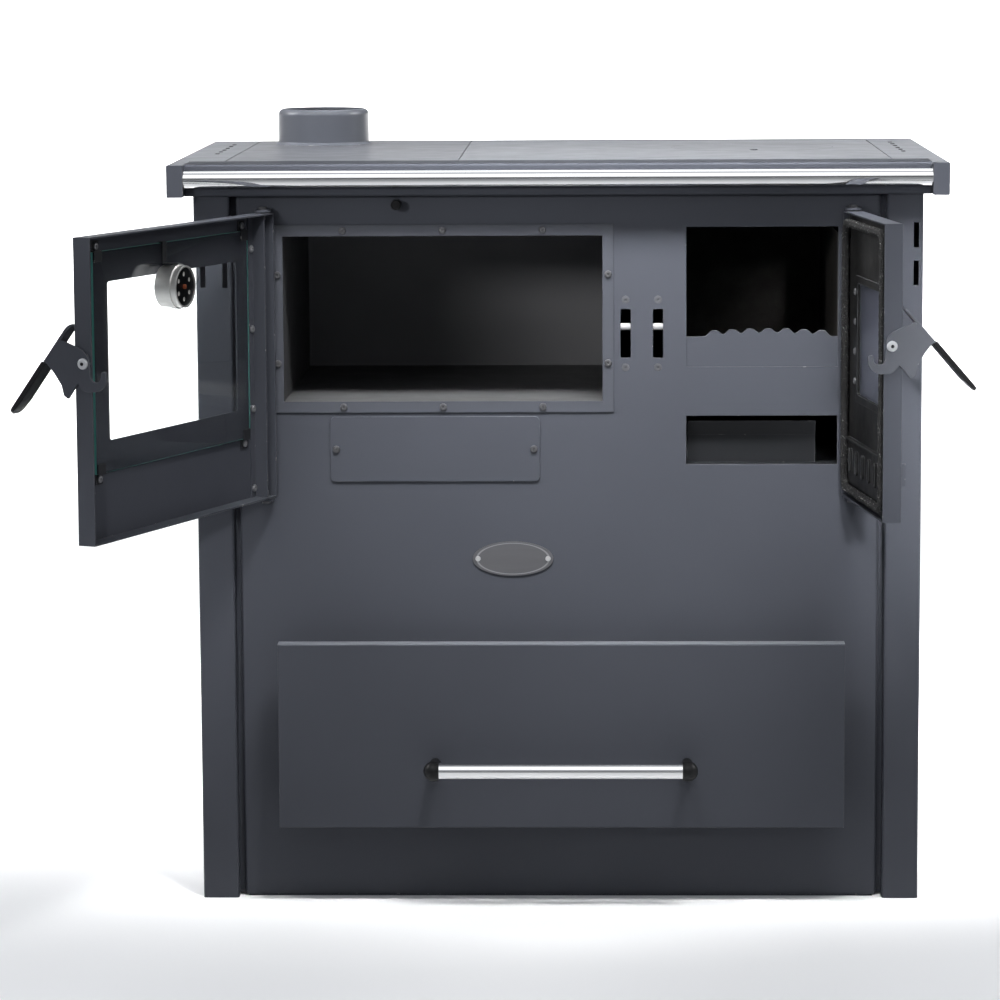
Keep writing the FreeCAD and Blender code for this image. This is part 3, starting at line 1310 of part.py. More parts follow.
def fire_frame():
    """Inner tray of the fire door: it carries the rope and clamps the glass."""
    t = DOOR_SHEET
    s = FRAME_SHEET
    u1 = fire_door_width - t
    z0, z1 = door_bottom + t, door_top - t
    tray = fire_door.block(t, u1, FRAME_DEPTH, glass_back, z0, z1)
    tray = tray.cut(fire_door.block(t + s, u1 - s, FRAME_DEPTH + s, glass_back + t, z0 + s, z1 - s))
    u, width, z, height = fire_window
    rim = fire_door.block(u - FRAME_RIM, u + width + FRAME_RIM, FRAME_DEPTH - FRAME_RIM_HEIGHT, FRAME_DEPTH,
                          z - FRAME_RIM, z + height + FRAME_RIM)
    tray = tray.fuse(rim).fuse(vent_field()).removeSplitter()
    low, high = sorted((fire_door.x(u), fire_door.x(u + width)))
    y = fire_door.y(FRAME_DEPTH + 2 * s)
    tray = tray.cut(prism(rectangle(low, high, z, z + height, WINDOW_CORNER), upright(y), BACK * (4 * s)))
    for slot in air_slot_prisms(0.0, 0.0, FRAME_DEPTH + 2 * s):
        tray = tray.cut(slot)
    latch = V(fire_door.x(fire_door.width - THROUGH / 2), fire_door.y(LATCH_V), latch_z)
    tray = tray.cut(round_bar(latch, RIGHT * fire_door.into, PIVOT_NUT + FRAME_RELIEF, THROUGH))
    for pin_z in (z0, z1):
        pin = V(fire_door.pin_x, pin_y, pin_z - THROUGH / 2)
        tray = tray.cut(round_bar(pin, UP, PIN_RADIUS + FRAME_RELIEF, THROUGH))
    for seat in frame_screw_seats():
        tray = tray.cut(round_bar(seat + BACK * s, BACK * -1, SCREW_RADIUS + SCREW_PLAY, 3 * s))
    return tray


def fire_glass_pane():
    u, width, z, height = fire_window
    lap = FIRE_GLASS_LAP
    v0 = FRAME_DEPTH + FRAME_SHEET
    return fire_door.block(u - lap, u + width + lap, v0, v0 + GLASS, z - lap, z + height + lap)


def fire_glass_clips():
    """Spacer blocks between the glass and the outer sheet, at the corners of the window."""
    u, width, z, height = fire_window
    lap = FIRE_GLASS_LAP
    v0 = FRAME_DEPTH + FRAME_SHEET + GLASS
    clips = []
    for u0 in (u - lap, u + width):
        for z0 in (z - lap, z + height):
            clips.append(fire_door.block(u0, u0 + lap, v0, glass_back, z0, z0 + lap))
    return clips


def fire_gasket():
    """Rope seal round the inner side of the fire door."""
    low, high = sorted((fire_door.x(ROPE_HINGE_INSET), fire_door.x(fire_door_width - ROPE_FREE_INSET)))
    points = rectangle(low, high, door_bottom + ROPE_EDGE_INSET, door_top - ROPE_EDGE_INSET, ROPE_CORNER)
    path = outline(points, upright(fire_door.y(ROPE_RADIUS - ROPE_PROUD)))
    last = path.Edges[-1]
    start = last.valueAt(last.FirstParameter)
    ring = Part.Wire([Part.Circle(start, last.tangentAt(last.FirstParameter), ROPE_RADIUS).toShape()])
    return path.makePipeShell([ring], True, False)


air_middle = AIR_FIRST + (AIR_SLOTS - 1) * AIR_SLOT_PITCH / 2
air_half = (AIR_SLOTS - 1) * AIR_SLOT_PITCH / 2 + AIR_PLATE_LAP


def air_slider():
    """Slotted plate with a folded pull tab, on the fire door's outer face."""
    z = door_bottom + AIR_RISE
    z_half = AIR_SLOT_HEIGHT / 2 + AIR_PLATE_LAP
    v0 = DOOR_DEPTH + SLIDE_GAP
    half = air_half + AIR_SLOT_WIDTH / 2
    u0, u1 = air_middle - half - AIR_TRAVEL / 2, air_middle + half - AIR_TRAVEL / 2
    plate = fire_door.block(u0, u1, v0, v0 + AIR_PLATE, z - z_half, z + z_half)
    y = fire_door.y(v0 + 2 * AIR_PLATE)
    plate = slots(plate, air_slot_places(-AIR_TRAVEL), upright(y), AIR_SLOT_WIDTH, AIR_SLOT_HEIGHT,
                  BACK * (4 * AIR_PLATE))
    tab = fire_door.block(u1 - AIR_PLATE, u1, v0, v0 + AIR_TAB, z - AIR_TAB_WIDTH / 2, z + AIR_TAB_WIDTH / 2)
    return plate.fuse(tab).removeSplitter()


def air_guides():
    """Two rebated strips that hold the air slider against the door."""
    z = door_bottom + AIR_RISE
    z_half = AIR_SLOT_HEIGHT / 2 + AIR_PLATE_LAP + SLIDE_GAP
    v0 = DOOR_DEPTH
    v1 = v0 + AIR_PLATE + 2 * SLIDE_GAP
    u0, u1 = air_middle - air_half, air_middle + air_half
    guides = []
    for side in (-1, 1):
        edge = z + side * z_half
        foot = fire_door.block(u0, u1, v0, v1 + AIR_PLATE, *sorted((edge, edge + side * AIR_GUIDE)))
        lip = fire_door.block(u0, u1, v1, v1 + AIR_PLATE, *sorted((edge, edge - side * AIR_GUIDE_LIP)))
        guides.append(foot.fuse(lip).removeSplitter())
    return guides


def pan_screws(seats, outward, shank):
    return [pan_screw(seat, outward, shank) for seat in seats]


def opened(door, shapes):
    return [door.opened(shape) for shape in shapes]


def casing_parts():
    right = side_panel()
    left_rail = rim_rail(y_rim_rear - REAR_STRIP_FLUE)
    right_rail = rim_rail(y_rim_rear - REAR_STRIP)
    rim_seats = [(rim_screw_seats(side), RIGHT * side) for side in (-1, 1)]
    back_seats = back_screw_seats(-1) + back_screw_seats(1)
    screws = [pan_screw(seat, way, SCREW_LENGTH) for seats, way in rim_seats for seat in seats]
    screws += pan_screws(back_seats, BACK, 3 * SHEET)
    return {
        "left_side_panel": [mirrored(right)],
        "right_side_panel": [right],
        "back_panel": [back_panel()],
        "base_panel": [base_panel()],
        "front_panel": [front_panel()],
        "casing_screws": screws,
        "rim_left_rail": [mirrored(left_rail)],
        "rim_right_rail": [right_rail],
        "rim_front_strip": [rim_front_strip()],
        "rim_rear_strip": [rim_rear_strip()],
        "towel_rail": [towel_rail()],
        "hob_plate_left": [hob_plate_left()],
        "hob_plate_right": [hob_plate_right()],
        "hob_lid": [hob_lid()],
        "flue_collar": [flue_collar()],
        "damper_guides": damper_guides(),
        "damper_slide": [damper_slide()],
        "damper_knob": [damper_knob()],
    }


def inside_parts():
    flange_screws = pan_screws(oven_screw_seats() + cover_screw_seats(), BACK * -1, 2 * SHEET)
    return {
        "oven_liner": [oven_liner()],
        "panel_screws": flange_screws,
        "smoke_box": [smoke_box()],
        "cleanout_cover": [cleanout_cover()],
        "name_plate": [name_plate()],
        "name_plate_rivets": [rivet(seat) for seat in rivet_seats()],
        "latch_keeper": [latch_keeper()],
        "latch_rollers": latch_rollers(),
        "keeper_screws": [keeper_screw(seat) for seat in keeper_screw_seats()],
        "firebox_shell": [firebox_shell()],
        "lining_plates": lining_plates(),
        "fire_grate": [fire_grate()],
        "ember_guard": [ember_guard()],
        "ash_pan": [ash_pan()],
        "drawer_runners": drawer_runners(),
        "drawer_front": [drawer_front()],
        "drawer_box": [drawer_box()],
        "drawer_handle_bar": [drawer_handle_bar()],
        "drawer_handle_ends": drawer_handle_ends(),
        "hinge_ears": hinge_ears(),
        "hinge_pins": hinge_pins(),
    }


def oven_door_parts():
    bores = screw_bores(oven_door_screw_seats())
    parts = {
        "oven_door_pan": [door_pan(oven_door, oven_window, bores)],
        "oven_door_glass": [oven_glass_pane()],
        "oven_glass_clips": oven_clips(),
        "oven_door_strip": [oven_door_strip()],
        "oven_door_screws": pan_screws(oven_door_screw_seats(), BACK, SHEET),
        "thermometer_case": [thermometer()],
        "thermometer_hanger": [thermometer_hanger()],
        "oven_latch_lever": [latch_lever(oven_door)],
        "oven_latch_grip": [latch_grip(oven_door)],
        "oven_latch_screw": latch_pivot(oven_door),
    }
    return {name: opened(oven_door, shapes) for name, shapes in parts.items()}


def fire_door_parts():
    air_holes = air_slot_prisms(0.0, glass_back - DOOR_SHEET, DOOR_DEPTH + DOOR_SHEET)
    parts = {
        "fire_door_pan": [door_pan(fire_door, fire_window, air_holes)],
        "fire_door_frame": [fire_frame()],
        "fire_door_glass": [fire_glass_pane()],
        "fire_glass_clips": fire_glass_clips(),
        "fire_door_gasket": [fire_gasket()],
        "fire_door_screws": pan_screws(frame_screw_seats(), BACK, FRAME_SHEET),
        "air_slider": [air_slider()],
        "air_slider_guides": air_guides(),
        "fire_latch_lever": [latch_lever(fire_door)],
        "fire_latch_grip": [latch_grip(fire_door)],
        "fire_latch_screw": latch_pivot(fire_door),
    }
    return {name: opened(fire_door, shapes) for name, shapes in parts.items()}


def main():
    os.makedirs("parts", exist_ok=True)
    for family in (casing_parts(), inside_parts(), oven_door_parts(), fire_door_parts()):
        for name, shapes in family.items():
            shape = shapes[0] if len(shapes) == 1 else Part.makeCompound(shapes)
            shape.exportStep(os.path.join("parts", name + ".step"))


main()
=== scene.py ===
import json
import math
import random

import bpy
from mathutils import Matrix, Vector


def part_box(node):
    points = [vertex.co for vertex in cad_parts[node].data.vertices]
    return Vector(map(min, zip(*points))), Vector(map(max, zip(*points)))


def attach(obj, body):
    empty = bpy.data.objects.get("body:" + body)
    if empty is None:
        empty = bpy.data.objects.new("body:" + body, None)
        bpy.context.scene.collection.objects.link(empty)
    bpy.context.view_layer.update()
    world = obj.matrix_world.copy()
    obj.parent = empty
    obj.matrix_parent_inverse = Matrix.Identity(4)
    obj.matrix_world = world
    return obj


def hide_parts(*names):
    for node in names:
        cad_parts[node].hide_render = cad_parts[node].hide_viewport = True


# Metres, in the stove's own frame: floor at z = 0, front towards -Y.
MM = 0.001
RIGHT = (1.0, 0.0, 0.0)
BACK = (0.0, 1.0, 0.0)
FRONT = (0.0, -1.0, 0.0)
UP = (0.0, 0.0, 1.0)

# The camera's place, angles in degrees and lens
CAMERA_PLACE = (0.0533, -4.8712, 1.1175)
CAMERA_YAW = 1.519
CAMERA_PITCH = 7.902
CAMERA_ROLL = -0.314
CAMERA_LENS = 142.37
CAMERA_SENSOR = 36.0

# Studio: soft lights, and a round pale floor, greyer in front of the stove, that curves up into a low wall
WALL_RADIUS = 7.0
WALL_HEIGHT = 1.4
WALL_CURVE = 1.0
WALL_STEPS = 16
WALL_SIDES = 96
FLOOR_NEAR = -0.8
FLOOR_FADE = 1.2
FLOOR_COLOUR = (0.93, 0.93, 0.93, 1.0)
FLOOR_FRONT_COLOUR = (0.55, 0.55, 0.55, 1.0)
SKY_STOPS = [
    # share of the way from straight down to straight up, colour
    (0.0, (0.04, 0.039, 0.037, 1.0)),
    (0.40, (0.12, 0.116, 0.11, 1.0)),
    (0.485, (0.2, 0.195, 0.185, 1.0)),
    (0.505, (0.02, 0.02, 0.02, 1.0)),
    (0.57, (0.05, 0.05, 0.05, 1.0)),
    (0.7, (0.5, 0.52, 0.55, 1.0)),
    (1.0, (0.54, 0.56, 0.6, 1.0)),
]
LIGHTS = (
    # name, place, target, width, height, power, spread in degrees, whether it shows in reflections
    ("key", (-0.75, -1.0, 2.5), (-0.45, -0.27, 1.35), 1.3, 0.4, 11.0, 33.0, False),
    ("fill", (0.95, -1.0, 2.5), (0.7, -0.27, 1.35), 1.8, 0.4, 21.5, 33.0, False),
    ("front", (-1.5, -2.6, 1.3), (-0.05, -0.27, 0.95), 0.5, 0.3, 1.3, 26.0, False),
    ("middle", (0.1, -4.2, 1.8), (0.14, -0.3, 0.36), 0.5, 0.3, 0.18, 8.0, False),
    ("right", (0.9, -4.4, 1.5), (0.58, -0.45, 0.6), 0.3, 0.3, 1.75, 7.0, False),
    ("left", (-0.8, -4.4, 1.2), (-0.5, -0.45, 0.4), 0.3, 0.3, 0.22, 5.0, False),
    ("top", (0.1, 0.9, 3.2), (0.0, 0.5, 0.9), 2.0, 2.0, 14.0, 180.0, True),
    ("floor_left", (-3.2, 0.6, 2.6), (-1.2, 3.2, 0.6), 1.6, 1.6, 120.0, 170.0, True),
    ("floor_right", (3.2, 0.6, 2.6), (1.2, 3.2, 0.6), 1.6, 1.6, 120.0, 170.0, True),
    ("wall_left", (-2.4, 3.6, 2.8), (-1.0, 7.0, 0.7), 1.6, 1.6, 170.0, 140.0, True),
    ("wall_right", (2.4, 3.6, 2.8), (1.0, 7.0, 0.7), 1.6, 1.6, 170.0, 140.0, True),
)

# A wide panel above the camera that only reflections show
MIRROR_PLACE = (0.0, -2.2, 2.8)
MIRROR_TARGET = (0.0, -0.27, 0.86)
MIRROR_SIZE = (4.0, 2.4)
MIRROR_POWER = 26.0

# Paints and other coverings, linear colour
PAINT = (0.043, 0.046, 0.0555, 1.0)
PAINT_SHADE = (0.036, 0.0385, 0.0465, 1.0)
PAINT_WORN = (0.15, 0.155, 0.165, 1.0)
HOB = (0.06, 0.062, 0.068, 1.0)
HOB_SHADE = (0.046, 0.048, 0.053, 1.0)
# Painted shade: the left hob plate is a darker copy of the hob's colour
HOB_LEFT_SHADED = (0.049, 0.0505, 0.056, 1.0)
HOB_LEFT_SHADED_DARK = (0.04, 0.0412, 0.046, 1.0)
LID = (0.054, 0.0555, 0.061, 1.0)
# Painted shade: the front strip's top face is darker than its front
STRIP_TOP_SHADE = (0.016, 0.017, 0.0205, 1.0)
# Painted highlight: the drawer front's top face is lighter than its front
DRAWER_TOP_HIGHLIGHT = (0.11, 0.116, 0.13, 1.0)
# Oven inside: dark walls, partly painted shade, and a back lightened as painted light
OVEN = (0.052, 0.052, 0.054, 1.0)
OVEN_SHADE = (0.034, 0.034, 0.035, 1.0)
OVEN_BACK_LIT = (0.125, 0.125, 0.13, 1.0)
INNER = (0.014, 0.0148, 0.0165, 1.0)
INNER_SHADE = (0.009, 0.0095, 0.0105, 1.0)
# Black of soot, also used as painted shade inside the rim's vents
SOOT_AND_VENT_SHADE = (0.006, 0.0059, 0.0058, 1.0)
DUST = (0.02, 0.0195, 0.019, 1.0)
BLACK = (0.01, 0.011, 0.013, 1.0)
ROPE_YARN = (0.018, 0.018, 0.0185, 1.0)
ROPE_YARN_DARK = (0.008, 0.0077, 0.0073, 1.0)
# Loose fibres' light colour, partly painted glints, also used as painted glints on the yarn
ROPE_FUZZ_AND_GLINT = (0.62, 0.62, 0.61, 1.0)
ROPE_FUZZ_DARK = (0.1, 0.1, 0.1, 1.0)
# Painted light: the fire latch lever is a lighter copy of the stove's paint
LEVER_LIT = (0.056, 0.059, 0.068, 1.0)
LEVER_LIT_DARK = (0.048, 0.051, 0.059, 1.0)
COLLAR = (0.039, 0.042, 0.0505, 1.0)
COLLAR_SHADE = (0.029, 0.031, 0.037, 1.0)
# Painted shade: the oven door's inner faces are darker than its outer ones
DOOR_INSIDE_SHADE = (0.034, 0.036, 0.044, 1.0)
CHIP = (0.36, 0.35, 0.33, 1.0)
PLASTIC = (0.008, 0.008, 0.0085, 1.0)

# Glass, linear colour
CLEAR = (0.97, 1.0, 0.99, 1.0)
SMOKED = (0.3, 0.31, 0.36, 1.0)
CUT_EDGE = (0.1, 0.36, 0.31, 1.0)
# Bluish layer on the glass's inner face: ash, its bluish tone a painted reflection
HAZE_AND_REFLECTION = (0.34, 0.36, 0.46, 1.0)

# Metals, linear colour
ZINC = (0.62, 0.62, 0.62, 1.0)
ZINC_SHADE = (0.45, 0.45, 0.46, 1.0)
DARK_STEEL = (0.11, 0.11, 0.115, 1.0)
DARK_STEEL_SHADE = (0.06, 0.06, 0.065, 1.0)
GREY_STEEL = (0.24, 0.24, 0.25, 1.0)
PANEL_STEEL = (0.15, 0.155, 0.17, 1.0)
PIVOT = (0.52, 0.53, 0.55, 1.0)
PIVOT_SHADE = (0.4, 0.41, 0.42, 1.0)
CHROME = (0.86, 0.86, 0.86, 1.0)
CHROME_SHADE = (0.8, 0.8, 0.8, 1.0)
ALUMINIUM = (0.8, 0.79, 0.77, 1.0)
ALUMINIUM_SHADE = (0.64, 0.63, 0.61, 1.0)
PLATE = (0.16, 0.16, 0.168, 1.0)
PLATE_SHADE = (0.12, 0.12, 0.128, 1.0)
# Painted highlight: the lighter line near the name plate's rim
PLATE_RIM_HIGHLIGHT = (0.3, 0.3, 0.31, 1.0)
COPPER = (0.55, 0.16, 0.08, 1.0)
IRON = (0.036, 0.034, 0.032, 1.0)
IRON_SHADE = (0.012, 0.011, 0.01, 1.0)

# Noise patterns: scale per metre, detail and, where it isn't the usual one, roughness
PAINT_CLOUDS = (7.0, 4.0)
PAINT_RUBBED = (22.0, 5.0)
PAINT_CHIPS = (160.0, 3.0)
PAINT_SHEEN = (26.0, 5.0)
PAINT_PEEL = (900.0, 2.0)
OVEN_CLOUDS = (9.0, 5.0)
OVEN_SHEEN = (30.0, 4.0)
OVEN_PEEL = (700.0, 2.0)
SOOT_ASH = (18.0, 6.0, 0.65)
SOOT_SHEEN = (40.0, 4.0)
SOOT_GRAIN = (500.0, 3.0)
YARN_SPECKS_AND_GLINTS = (420.0, 6.0, 0.7)
YARN_SHEEN = (200.0, 3.0)
YARN_FIBRES = (1500.0, 3.0, 0.6)
METAL_LINES = (60.0, 4.0, 0.6)
GLASS_SMEARS = (9.0, 3.0)
PLASTIC_CLOUDS = (40.0, 3.0)
PLASTIC_SHEEN = (120.0, 3.0)
PLASTIC_GRAIN = (1400.0, 2.0)
IRON_CLOUDS = (35.0, 6.0)
IRON_SHEEN = (90.0, 3.0)
IRON_GRAIN = (350.0, 4.0)

# How a pattern is stretched along x, y and z
EVEN = (1.0, 1.0, 1.0)
DRAWN_LINES = (0.2, 2.0, 2.0)
PLATE_LINES = (0.3, 3.0, 3.0)
TURNED_LINES = (1.0, 1.0, 6.0)
FIBRE_LINES = (1.0, 1.0, 0.3)

# Sizes and shares inside the materials
EDGE_ROUND = 0.7 * MM
EDGE_WORN = 1.1 * MM
SOOT_EDGE_WORN = 1.0 * MM
SOOT_WEAR = 0.5
PAINT_GRAIN = 0.05 * MM
HOB_GRAIN = 0.03 * MM
PAINT_SPREAD = 0.07
PLASTIC_SPREAD = 0.08
PLASTIC_SHADE_SHARE = 0.6
METAL_SPREAD = (0.8, 1.3)
HAZE_SPREAD = (0.6, 1.4)
CUT_EDGE_ROUGH = 0.35
RAIL_END = 10 * MM
RAIL_END_FADE = 1 * MM
OVEN_FLANGE_FADE = (1.3 * MM, 1.7 * MM)
OVEN_BACK_LIT_FADE = (8 * MM, 3 * MM)
THERMOMETER_RECESS = 2.0 * MM
THERMOMETER_SLACK = 0.35 * MM
THERMOMETER_DISC = 21.8 * MM
THERMOMETER_RIVET = 3.4 * MM
# Painted shade: radius of the black disc at a pivot screw's socket
PIVOT_SOCKET_SHADE = 2.0 * MM
# Painted highlight on the name plate: where its lighter line lies and how wide it is
PLATE_RIM_HIGHLIGHT_PLACE = 0.8
PLATE_RIM_HIGHLIGHT_SLACK = 0.045

# Nodes whose finish differs from the rest of their slot
NODE_FINISH = {
    "panel_screws": "screw_dark",
    "casing_screws": "screw_dark",
    "hinge_pins": "screw_dark",
    "oven_door_screws": "screw_grey",
    "fire_door_screws": "screw_grey",
    "keeper_screws": "screw_panel",
    "oven_latch_screw": "oven_pivot",
    "fire_latch_screw": "fire_pivot",
    "fire_latch_lever": "lever",
    "flue_collar": "collar",
    "rim_left_rail": "left_rail_paint",
    "rim_right_rail": "right_rail_paint",
    "rim_front_strip": "strip_paint",
    "hob_plate_left": "hob_left",
    "hob_lid": "lid",
    "drawer_front": "drawer_paint",
    "oven_latch_lever": "oven_lever",
    "oven_door_pan": "oven_door_paint",
    "oven_door_strip": "oven_door_paint",
    "oven_liner": "oven_liner",
    "fire_door_frame": "soot",
    "oven_door_glass": "oven_glass",
    "fire_door_glass": "fire_glass",
}

# Braided rope seal
ROPE_CORNER = 14 * MM
YARN_RADIUS = 1.05 * MM
YARNS_EACH_WAY = 6
YARN_SIDES = 6
YARN_STEP = 1.5 * MM
YARN_WEAVE = 0.45 * MM
LAY = 21 * MM

# Loose fuzz on the rope: each fibre rises, bends over and turns along its length, and gets thinner
FUZZ_COUNT = 1000
FUZZ_RADIUS = 0.12 * MM
FUZZ_LENGTH = (1.6 * MM, 3.6 * MM)
FUZZ_SHARES = (0.0, 0.4, 0.75, 1.0)
FUZZ_TAPER = (1.0, 1.0, 0.8, 0.3)
FUZZ_SIDES = 3
FUZZ_RISE = 0.75
FUZZ_BEND = 0.35
FUZZ_TURN = 0.5
FUZZ_SEED = 7

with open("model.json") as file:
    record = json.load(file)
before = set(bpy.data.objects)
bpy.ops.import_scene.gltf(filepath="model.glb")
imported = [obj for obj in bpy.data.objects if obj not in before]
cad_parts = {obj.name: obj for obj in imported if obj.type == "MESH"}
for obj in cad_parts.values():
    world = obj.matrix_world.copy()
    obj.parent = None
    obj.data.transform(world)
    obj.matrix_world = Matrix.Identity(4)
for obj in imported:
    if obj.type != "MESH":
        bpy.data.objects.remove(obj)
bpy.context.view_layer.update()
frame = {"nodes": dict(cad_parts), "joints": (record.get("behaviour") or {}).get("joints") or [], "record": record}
nodes = frame["nodes"]
joints = {joint["name"]: joint for joint in frame["joints"]}


class Door:
    """A hinged door's shut frame: points go from the open place to the shut one and back."""

    def __init__(self, joint_name):
        joint = joints[joint_name]
        pin = Vector(joint["pos_m"])
        turn = math.radians(joint["range_deg"][0])
        self.shut = (Matrix.Translation(pin) @ Matrix.Rotation(turn, 4, Vector(joint["axis"]))
                     @ Matrix.Translation(-pin))
        self.open = self.shut.inverted()

    def box(self, node):
        """Lowest and highest corners of a node with the door shut."""
        points = [self.shut @ v.co for v in nodes[node].data.vertices]
        low = Vector(min(p[i] for p in points) for i in range(3))
        high = Vector(max(p[i] for p in points) for i in range(3))
        return low, high

    def turned(self, direction):
        """Where a direction of the shut door points with the door open."""
        return tuple(self.open.to_3x3() @ Vector(direction))


oven_door = Door("oven_door_hinge")
fire_door = Door("fire_door_hinge")


def fill_ramp(node, stops):
    """Puts (position, colour) stops on a colour ramp."""
    elements = node.color_ramp.elements
    elements[0].position, elements[0].color = stops[0]
    elements[1].position, elements[1].color = stops[-1]
    for position, colour in stops[1:-1]:
        elements.new(position).color = colour


class Shader:
    """A material's node tree, with short calls for the nodes that the materials share."""

    def __init__(self, name):
        self.material = bpy.data.materials.new(name)
        self.material.use_nodes = True
        self.tree = self.material.node_tree
        self.tree.nodes.clear()
        self.output = self.add("ShaderNodeOutputMaterial")
        self.coord = self.add("ShaderNodeTexCoord")
        self.surface = self.add("ShaderNodeBsdfPrincipled")
        self.link(self.surface.outputs["BSDF"], self.output.inputs["Surface"])

    def add(self, kind, **settings):
        node = self.tree.nodes.new(kind)
        for key, value in settings.items():
            setattr(node, key, value)
        return node

    def link(self, source, target):
        self.tree.links.new(source, target)

    def place(self, scale=EVEN):
        """Object coordinates stretched by scale."""
        mapping = self.add("ShaderNodeMapping")
        mapping.inputs["Scale"].default_value = scale
        self.link(self.coord.outputs["Object"], mapping.inputs["Vector"])
        return mapping.outputs["Vector"]

    def noise(self, scale, detail=3.0, roughness=0.55, stretch=EVEN):
        node = self.add("ShaderNodeTexNoise")
        node.inputs["Scale"].default_value = scale
        node.inputs["Detail"].default_value = detail
        node.inputs["Roughness"].default_value = roughness
        self.link(self.place(stretch), node.inputs["Vector"])
        return node.outputs["Fac"]

    def ramp(self, factor, stops):
        """Colour ramp through (position, colour) stops."""
        node = self.add("ShaderNodeValToRGB")
        fill_ramp(node, stops)
        self.link(factor, node.inputs["Fac"])
        return node.outputs["Color"]

    def mix(self, factor, first, second):
        """Colour mix; first and second are sockets or colours."""
        node = self.add("ShaderNodeMix", data_type="RGBA")
        self.link(factor, node.inputs["Factor"])
        for socket, value in ((node.inputs["A"], first), (node.inputs["B"], second)):
            if isinstance(value, tuple):
                socket.default_value = value
            else:
                self.link(value, socket)
        return node.outputs["Result"]

    def range(self, factor, low, high):
        """low where factor is 0, high where it is 1."""
        node = self.add("ShaderNodeMapRange")
        node.inputs["To Min"].default_value = low
        node.inputs["To Max"].default_value = high
        self.link(factor, node.inputs["Value"])
        return node.outputs["Result"]

    def window(self, value, low, high):
        """0 at low, 1 at high, clamped."""
        node = self.add("ShaderNodeMapRange")
        node.inputs["From Min"].default_value = low
        node.inputs["From Max"].default_value = high
        self.link(value, node.inputs["Value"])
        return node.outputs["Result"]

    def math(self, operation, first, second):
        """Maths node on two values, which are sockets or numbers."""
        node = self.add("ShaderNodeMath", operation=operation)
        for socket, value in zip(node.inputs, (first, second)):
            if isinstance(value, (int, float)):
                socket.default_value = value
            else:
                self.link(value, socket)
        return node.outputs["Value"]

    def near(self, value, target, slack):
        """1 where value is within slack of target, else 0."""
        result = self.math("COMPARE", value, target)
        result.node.inputs[2].default_value = slack
        return result

    def absolute(self, value):
        node = self.add("ShaderNodeMath", operation="ABSOLUTE")
        self.link(value, node.inputs[0])
        return node.outputs["Value"]

    def facing(self, direction):
        """Cosine between the surface's normal and direction, in the stove's frame at rest."""
        node = self.add("ShaderNodeVectorMath", operation="DOT_PRODUCT")
        node.inputs[1].default_value = direction
        self.link(self.coord.outputs["Normal"], node.inputs[0])
        return node.outputs["Value"]

    def offset(self, origin):
        """Vector from origin to the surface point, in the stove's frame at rest."""
        node = self.add("ShaderNodeVectorMath", operation="SUBTRACT")
        self.link(self.coord.outputs["Object"], node.inputs[0])
        node.inputs[1].default_value = origin
        return node.outputs["Vector"]

    def along(self, origin, direction):
        """Distance of the surface point from origin along direction."""
        node = self.add("ShaderNodeVectorMath", operation="DOT_PRODUCT")
        self.link(self.offset(origin), node.inputs[0])
        node.inputs[1].default_value = direction
        return node.outputs["Value"]

    def reach(self, origin, axis):
        """Distance of the surface point from the line through origin along axis."""
        cross = self.add("ShaderNodeVectorMath", operation="CROSS_PRODUCT")
        self.link(self.offset(origin), cross.inputs[0])
        cross.inputs[1].default_value = axis
        size = self.add("ShaderNodeVectorMath", operation="LENGTH")
        self.link(cross.outputs["Vector"], size.inputs[0])
        return size.outputs["Value"]

    def distance(self, origin):
        """Distance of the surface point from origin."""
        node = self.add("ShaderNodeVectorMath", operation="DISTANCE")
        self.link(self.coord.outputs["Object"], node.inputs[0])
        node.inputs[1].default_value = origin
        return node.outputs["Value"]

    def edges(self, radius, low=0.995, high=0.93):
        """Mask of the convex and concave edges: 1 where the rounded normal turns away from the flat one."""
        bevel = self.add("ShaderNodeBevel", samples=6)
        bevel.inputs["Radius"].default_value = radius
        flat = self.add("ShaderNodeNewGeometry")
        turn = self.add("ShaderNodeVectorMath", operation="DOT_PRODUCT")
        self.link(bevel.outputs["Normal"], turn.inputs[0])
        self.link(flat.outputs["Normal"], turn.inputs[1])
        return self.window(turn.outputs["Value"], low, high)

    def bump(self, height, depth, strength=1.0, edge=EDGE_ROUND):
        """Bump by height over softly rounded edges."""
        bump = self.add("ShaderNodeBump")
        bump.inputs["Strength"].default_value = strength
        bump.inputs["Distance"].default_value = depth
        self.link(height, bump.inputs["Height"])
        if edge:
            bevel = self.add("ShaderNodeBevel", samples=4)
            bevel.inputs["Radius"].default_value = edge
            self.link(bevel.outputs["Normal"], bump.inputs["Normal"])
        self.link(bump.outputs["Normal"], self.surface.inputs["Normal"])

    def set(self, **values):
        """Uniform values on the shader's own sockets."""
        for key, value in values.items():
            self.surface.inputs[key.replace("_", " ")].default_value = value

    def base(self):
        """The socket that colours the surface so far."""
        return self.surface.inputs["Base Color"].links[0].from_socket

    def colour(self, socket):
        self.link(socket, self.surface.inputs["Base Color"])

    def roughness(self, socket):
        self.link(socket, self.surface.inputs["Roughness"])


